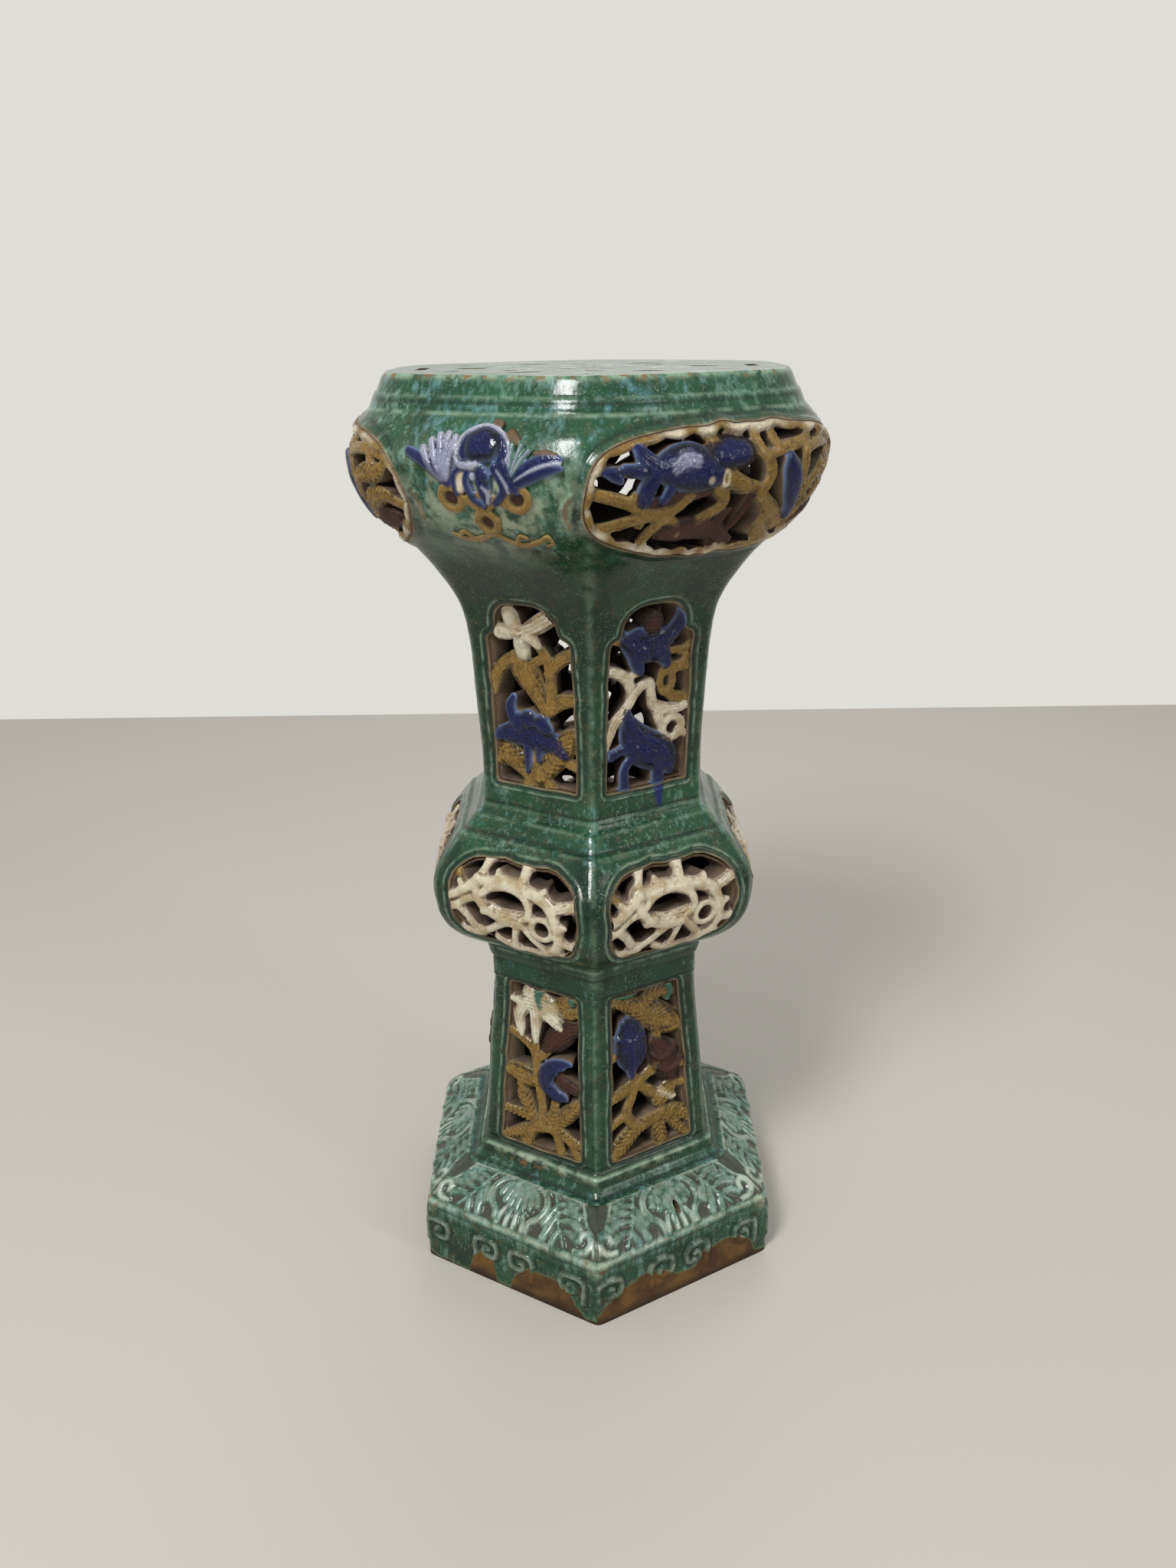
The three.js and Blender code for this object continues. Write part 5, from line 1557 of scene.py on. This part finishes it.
def bowlExtra(across, up, centre, azimuth, height, shares):
    build = bowlBuild
    distance = np.maximum(-outlineField(across, up, cartoucheOutline)[0], 0)
    shares["bare"] = np.exp(-distance / build["bareFade"])
    lipHeight, lipWidth = build["lip"]
    ditchDepth, ditchAt, ditchWidth = build["ditch"]
    height = lipHeight * bell(distance, 0, lipWidth) - ditchDepth * bell(distance, ditchAt, ditchWidth)
    beyond = np.abs(np.abs(across) - bowlArc * sixth)
    gain, most = build["curdShare"]
    shares["cream"] = np.clip(gain * blot(beyond, up, *build["curds"]), 0, most)
    share, at, width = build["pooled"]
    shares["pooled"] = bell(distance, at, width) * share
    share, width, below = build["cornerThin"]
    shares["thin"] = share * cornerShare(azimuth, up, width) * (up < below)
    share, at, width = build["rimThin"]
    shares["thin"] = shares["thin"] + share * bell(up, at, width)
    for hand in (-1, 1):
        depth = strokeField(across, up, placed(build["ear"], 0, hand))[0]
        height = height + build["earHeight"] * np.clip(depth / 1.2 + 0.6, 0, 1)
        shares["bare"] = np.maximum(shares["bare"], 0.9 * np.clip(depth / 1.2 - 0.2, 0, 1))
        shares["thin"] = np.maximum(shares["thin"], 0.9 * bell(depth, -0.5, 1.0))
    shares["worn"] = build["worn"] + 0 * height
    share, width = build["darkened"]
    shares["pale"] = palenessAndPaintedLight(up) - share * bell(distance, 0, width)
    return height, shares


# The bowl's wall, with a swelling lip and a ditch round each of its three openings and an ear at each end.
def bowl():
    half = bowlArc * sixth
    spacing = bowlBuild["beside"]
    spans = bowlBuild["across"]
    lines = gridLines([(-half, spans[0][0], spacing), *spans, (spans[-1][1], half, spacing)])
    middles = [ornamentTurn + 2 * sixth * third for third in range(3)]
    windowedTier("bowlShell", "bowl", cartoucheOutline, bowlTurn, middles, lines, gridLines(bowlBuild["up"]),
                 bowlBuild["wall"], bowlExtra, [copper, inner])


# A plain ring of the skin with a relief of its own; up lists the heights of its grid lines.
# A firing hole is (azimuth, height, half width across, half width up).
def plainTier(name, node, columns, up, wall, relief, materials, hole=None):
    azimuth = np.linspace(-math.pi, math.pi, columns, endpoint=False)[:, None] + 0 * up[None]
    upGrid = up[None] + 0 * azimuth
    keep = np.ones((columns, len(up) - 1), bool)
    if hole:
        turn, level, halfAcross, halfUp = hole
        reach = apothem(level)

        def outside(a, u):
            return np.hypot(a - turn * reach, (u - level) * halfAcross / halfUp) - halfAcross

        around = azimuth * reach
        middleAround = 0.5 * (around + np.roll(around, -1, 0))[:, :-1]
        keep = outside(middleAround, 0.5 * (upGrid[:, :-1] + upGrid[:, 1:])) > 0
        slideToCut(around, upGrid, outside, keep, 0.9)
        azimuth = around / reach
    height, shares = relief(azimuth, upGrid)
    blank = {label: 0 * height for label in ("thin", "pooled", "bare", "blue", "cream", "worn")}
    blank["pale"] = palenessAndPaintedLight(upGrid)
    front = reliefPoint(azimuth, upGrid, height)
    back = skinPoint(azimuth, upGrid, wall)
    piece = makeShell(name, front, back, keep, True, {**blank, **shares}, materials)
    dress(piece, node)


# The turn from its face's middle that an azimuth has, and whether that is a right-hand face.
def faceOf(azimuth):
    index = np.floor(azimuth / sixth)
    return azimuth - (index + 0.5) * sixth, index % 2 == 0


plinthBuild = {
    "columns": 792,
    "up": [(0, 20, 5.0), (20, 48, 1.5), (48, 61, 1.9), (61, 78, 1.2), (78, 92, 0.9)],
    "wall": 14.0,
    "hole": (faceTurn, 78.0, 2.8, 4.0),
    "slope": (61, 66.0, 92),  # where the slope starts, where its band starts, and its head
    "leafDome": 2.3,
    "leafSpread": 0.7,
    "lip": (63.5, 1.6),
    "groove": (57, 1.5),
    "grooveDepth": 0.8,
    "band": (47.5, 0.9),
    "bandDepth": 0.5,
    # millimetres across a face and the height that the glaze came down to there
    "glazeLineLeft": [(-92, 3), (-67, 2), (-55, 0), (-45, 2), (-41, 20), (-30, 28), (-18, 22), (-15, 2),
                      (0, 2), (5, 18), (20, 30), (40, 32), (60, 28), (71, 10), (80, 3), (92, 3)],
    "glazeLineRight": [(-92, 10), (-85, 18), (-70, 30), (-43, 36), (-20, 30), (-11, 20), (0, 17), (13, 20),
                       (18, 30), (40, 34), (60, 32), (73, 20), (80, 4), (92, 4)],
    # how far out the leaf band's ground reaches, by millimetres up the slope
    "groundEdge": ((0, 4, 17, 26, 44, 46), (86, 84, 79, 68, 56, 48)),
}


# Millimetres up the plinth's slope from the start of its leaf band, and well below nought on the apron.
def upTheSlope(up):
    start, bandStart, _ = plinthBuild["slope"]
    stations = np.linspace(60, 94, 80)
    slope = np.hypot(np.gradient(cornerRadius(stations) * math.cos(faceTurn)), np.gradient(stations))
    along = np.cumsum(slope) - slope[0]
    onSlope = np.interp(up, stations, along) - np.interp(bandStart, stations, along)
    return np.where(up < start, -20.0, onSlope)


# The key fret's height, and the ditch beside it, as shares.
def fretRelief(across, up):
    raised, beside = np.zeros(up.shape), np.zeros(up.shape)
    for points in fretStrokes():
        depth = strokeField(across, up, points, 3)[0]
        raised = np.maximum(raised, np.clip(depth / 1.3 + 0.4, 0, 1))
        beside = np.maximum(beside, bell(depth, -1.4, 1.3))
    raised *= up < 50
    return raised, beside * (up < 48) * (1 - raised)


def plinthRelief(azimuth, up):
    build = plinthBuild
    start, bandStart, head = build["slope"]
    fromMiddle, isRight = faceOf(azimuth)
    across = apothem(up) * np.tan(fromMiddle)
    upSlope = upTheSlope(up)
    dome, spread = build["leafDome"], build["leafSpread"]
    leafHeight, _, leafShares = carve(across, upSlope, leafBandStrokes(), dome, spread)
    height = np.maximum(leafHeight, 0) * np.clip((up - start) / 3, 0, 1)
    on = np.clip(height / dome, 0, 1)
    raised, beside = fretRelief(across, up)
    height = height + keyFret["height"] * raised - keyFret["ditch"] * beside
    lip, groove, band = (bell(up, *build[part]) for part in ("lip", "groove", "band"))
    height = height - build["grooveDepth"] * groove - build["bandDepth"] * band
    corner = cornerShare(azimuth, up, 4.0)
    lines = (build["glazeLineLeft"], build["glazeLineRight"])
    left, right = (np.interp(across, *np.transpose(line)) for line in lines)
    groundEdge = np.interp(upSlope, *build["groundEdge"])
    framed = 1 / (1 + np.exp(np.clip((np.abs(across + 1) - groundEdge) / 0.5, -30, 30)))
    between = np.clip(-leafHeight / 1.2, 0, 1) * (up > bandStart) * (up < head) * framed
    worked = (upSlope > 1) * (upSlope < 45)
    chipped = cornerShare(azimuth, up, 9.0) * bell(up, 62, 9)
    # The leaf band's crests, most of all the white frame and curls, are paled: partly the glaze run thin,
    # partly a painted highlight. The pale line along the lip is the same.
    thinAndLitCrests = 0.7 * on ** 3 * worked * (0.35 + 0.8 * leafShares["white"])
    shares = {
        "thin": np.clip(0.5 * lip + thinAndLitCrests + 0.3 * raised, 0, 1),
        "pooled": np.clip(groove + band + beside + 0.5 * leafShares["clay"] * worked, 0, 1),
        "ground": np.clip(0.75 * between + 0.85 * leafShares["hollow"] * worked, 0, 1),
        "aboveGlazeLine": np.clip(up - np.where(isRight, right, left), -20, 20),
        "worn": np.clip(0.15 + 0.3 * lip + 0.7 * chipped, 0, 1),
        "cream": np.clip(0.8 * chipped + 0.35 * lip, 0, 1),
        "pale": np.clip(palenessAndPaintedLight(up) - 0.35 * corner * (up > bandStart) + 0.1 * on * worked, 0, 1),
    }
    return height, shares


def plinth():
    build = plinthBuild
    plainTier("footPlinth", "foot_plinth", build["columns"], gridLines(build["up"]), build["wall"],
              plinthRelief, [foot, inner], build["hole"])


# A low ridge between two grooves, with rust and curdled glaze on it, more on the left-hand faces.
def torusRelief(azimuth, up):
    fromMiddle, isRight = faceOf(azimuth)
    across = apothem(up) * np.tan(fromMiddle)
    ridge = bell(up, 108, 1.2)
    groove = bell(up, 94, 1.2) + bell(up, 111, 0.8)
    return 0.5 * ridge - 0.5 * groove, {
        # The pale line along the ridge is thin glaze and also a painted highlight.
        "thin": np.clip(0.3 * cornerShare(azimuth, up, 3.0) + 0.8 * ridge, 0, 1),
        "pooled": np.clip(groove, 0, 1),
        "worn": blot(up, across, (102, -20), (2.6, 38)) * np.where(isRight, 0.3, 1.0),
        "cream": blot(up, across, (106.5, 4), (2.8, 50)) * np.where(isRight, 0.45, 1.0),
    }


def torus():
    up = gridLines([(92, 112, 0.9)])
    plainTier("baseTorus", "base_torus", 480, up, 13.0, torusRelief, [copper, inner])


# Two grooves, and a ridge that shows only as a thin line in the glaze.
def collarRelief(azimuth, up):
    groove = bell(up, 301.5, 1.0) + bell(up, 284, 0.9)
    thin = 0.3 * cornerShare(azimuth, up, 5.0) + 0.5 * bell(up, 312, 1.6)
    return -0.5 * groove, {"thin": np.clip(thin, 0, 1), "pooled": np.clip(groove, 0, 1)}


def collar():
    up = gridLines([(283, 316, 1.0)])
    plainTier("waistCollar", "waist_collar", 480, up, 13.0, collarRelief, [copper, inner])


plate = {
    "foot": 777,
    "thickness": 11.0,
    "columns": 420,
    "rings": 72,
    "innerRing": 7.0,
    "edgeLevels": (777, 778.5, 780, 781.5, 783, 784, 785, 786, 787.5, 789, 791, 793, 795, 796.5, 797.6, 798.4,
                   799, 799.5, 799.8),
    "bead": (785.4, 0.9),
    "beadHeight": 0.7,
    "groove": (782.2, 1.0),
    "grooveDepth": 0.8,
    "sag": 1.28,
    "skirt": 164.0,
    "skirtSharpness": 9.0,
    "hubRadius": 9.0,
    "holeRings": ((92, 13, faceTurn), (118, 8, 0.0), (30, 8, faceTurn)),
    "slotAt": 131.0,
    "slotHalf": 20.0,
    "slotWidth": 9.0,
    "leafAt": (51, 84),
    "leafWidth": 12.0,
    "blueSpill": ((25, -35), (30, 16)),
    "blueShare": 0.6,
}


# The pierced top: distance to the nearest hole, negative inside one, on the plate's own plane.
def plateField(x, y):
    nearest = np.hypot(x, y) - plate["hubRadius"]
    inner, outer = plate["leafAt"]
    for index in range(6):
        corner = index * sixth
        for ring, radius, turn in plate["holeRings"]:
            holeX, holeY = ring * math.sin(turn + corner), -ring * math.cos(turn + corner)
            nearest = np.minimum(nearest, np.hypot(x - holeX, y - holeY) - radius)
        angle = faceTurn + corner
        outX, outY = plate["slotAt"] * math.sin(angle), -plate["slotAt"] * math.cos(angle)
        sideX, sideY = plate["slotHalf"] * math.cos(angle), plate["slotHalf"] * math.sin(angle)
        ends = [(outX + hand * sideX, outY + hand * sideY, plate["slotWidth"]) for hand in (-1, 1)]
        leaf = [(reach * math.sin(corner + turn), -reach * math.cos(corner + turn), width)
                for reach, turn, width in ((inner, 0.0, 2), (0.5 * (inner + outer), 0.1, plate["leafWidth"]),
                                           (outer, 0.22, 2))]
        for points, bends in ((ends, 1), (leaf, 5)):
            nearest = np.minimum(nearest, -strokeField(x, y, points, bends)[0])
    return nearest


# The edge follows the skin up and over; the top is rings that shrink towards the middle and dip a little.
# Under it the edge comes back as a skirt, and the plate's underside lies below the top ring by ring.
def topSlab():
    columns, base = plate["columns"], plate["foot"]
    turns = np.linspace(-math.pi, math.pi, columns, endpoint=False)[:, None]
    azimuth, edgeUp = np.broadcast_arrays(turns, np.array(plate["edgeLevels"])[None])
    bead, groove = bell(edgeUp, *plate["bead"]), bell(edgeUp, *plate["groove"])
    beads = plate["beadHeight"] * bead - plate["grooveDepth"] * groove
    rim = skinPoint(azimuth, edgeUp) + skinNormal(azimuth, edgeUp) * beads[..., None]
    outer = np.linalg.norm(rim[:, -1, :2], axis=-1)[:, None]
    shares = np.linspace(1, 0, plate["rings"])[None, 1:]
    radius = plate["innerRing"] + (outer - 1.2 - plate["innerRing"]) * shares
    x, y = radius * np.sin(turns), -radius * np.cos(turns)
    middleX, middleY = (betweenColumns(grid, np.roll(grid, -1, 0)) for grid in (x, y))
    plateKeep = fillPinches(plateField(middleX, middleY) > 0, True)
    slideToCut(x, y, plateField, plateKeep, 1.3)
    distance = np.maximum(plateField(x, y), 0)
    dip = -0.5 * np.exp(-distance / 1.5) - plate["sag"] * (1 - shares) * shares
    front = np.concatenate([rim, np.stack([x, y, 799.9 + dip + 0 * x], -1)], 1)
    under = standTop - plate["thickness"]
    skirt = plate["skirt"] * planShare(azimuth, np.full(azimuth.shape, plate["skirtSharpness"]))
    skirtUp = base + (edgeUp - base) * (under - base) / (standTop - base)
    pull = np.minimum(1.0, (skirt[:, -1:] - 1.0) / np.maximum(np.hypot(x, y), 1.0))
    back = np.concatenate([np.stack([skirt * np.sin(azimuth), -skirt * np.cos(azimuth), skirtUp], -1),
                           np.stack([x * pull, y * pull, under + 0 * x], -1)], 1)
    keep = np.concatenate([np.ones(azimuth.shape, bool), plateKeep], 1)
    up = np.concatenate([edgeUp, standTop + 0 * x], 1)
    gap = np.concatenate([99 + 0 * edgeUp, distance], 1)
    fromRim = np.abs(up - 799.2) + np.concatenate([0 * edgeUp, outer - radius], 1)
    # The line along the bead at 785 mm is partly thin glaze, partly a painted highlight.
    thin = 0.8 * bell(fromRim, 0, 2.5) + 0.3 * bell(up, 785.4, 1.2) + 0.7 * np.exp(-gap / 1.5)
    attributes = {
        "thin": np.clip(thin, 0, 1),
        "pooled": np.clip(bell(up, 782.2, 1.1), 0, 1),
        "worn": np.clip(0.95 * bell(fromRim, 0, 3.0), 0, 1),
        "bare": 0 * up,
        "blue": plate["blueShare"] * blot(front[..., 0], front[..., 1], *plate["blueSpill"]),
        "cream": 0 * up,
        "pale": palenessAndPaintedLight(up),
    }
    piece = makeShell("topSlab", front, back, keep, True, attributes, [copper, inner])
    dress(piece, "top_slab")


sprigBuild = {
    "cell": 0.85,
    "span": (-70, 70),
    "rise": (680, 777),
    "domeLimit": 6.0,
    "heights": (0.4, 6.6),
    "thinWidth": 0.9,
    "sunk": 1.5,
}


# The applied sprigs, pressed on before firing: relief above the wall, sunk a little into it behind.
def sprigs():
    build = sprigBuild
    cell = build["cell"]
    across, up = np.meshgrid(np.arange(*build["span"], cell), np.arange(*build["rise"], cell), indexing="ij")

    def inside(a, u):
        return carve(a, u, sprigStrokes, build["domeLimit"])[1]

    keep = fillPinches(inside(cellMiddles(across), cellMiddles(up)) > 0, False)
    slideToCut(across, up, inside, keep, panelBuild["slide"] * cell)
    height, depth, shares = carve(across, up, sprigStrokes, build["domeLimit"])
    shares["thin"] = np.exp(-np.maximum(depth, 0) / build["thinWidth"])
    azimuth = sprigTurn + bowlTurn(across, up)
    front = skinPoint(azimuth, up) + skinNormal(azimuth, up) * np.clip(height, *build["heights"])[..., None]
    back = skinPoint(azimuth, up, build["sunk"])
    for third in range(3):
        name, node = f"bowlSprig{third + 1}", f"bowl_sprig_{third + 1}"
        piece = makeShell(name, front, back, keep, False, shares, [painted, painted], third)
        dress(piece, node)


plinth()
torus()
column("lowerColumn")
collar()
print("lower tiers shaped")
column("knopShell")
column("upperColumn")
bowl()
topSlab()
print("upper tiers shaped")

# Panels are numbered from the right-hand front face; odd ones take one design and even ones the other.
panelCell, cartoucheCell = 1.1, 1.2  # millimetres between grid lines
tierPanels = (
    ("lowerPanel", "lower_panel", lowerWindow, budStrokes, bellflowerStrokes, panelBuild, "ochre_glaze"),
    ("upperPanel", "upper_panel", upperWindow, lionStrokes, lotusStrokes, panelBuild, "ochre_glaze"),
    ("knopPanel", "knop_panel", knopWindow, scrollStrokes, scrollStrokes, scrollBuild, "cream_glaze"),
)
for label, node, outline, onRight, onLeft, build, slotName in tierPanels:
    for order, strokes, middle in (((1, 3, 5), onRight, faceTurn), ((6, 2, 4), onLeft, -faceTurn)):
        openwork(label, node, order, outline, strokes, flatTurn, middle, panelCell, build,
                 [painted, cut])
openwork("bowlCartouche", "bowl_cartouche", (1, 2, 3), cartoucheOutline, cartoucheStrokes, bowlTurn,
         ornamentTurn, cartoucheCell, cartoucheBuild, [painted, cut])
sprigs()
print("openwork and sprigs shaped")
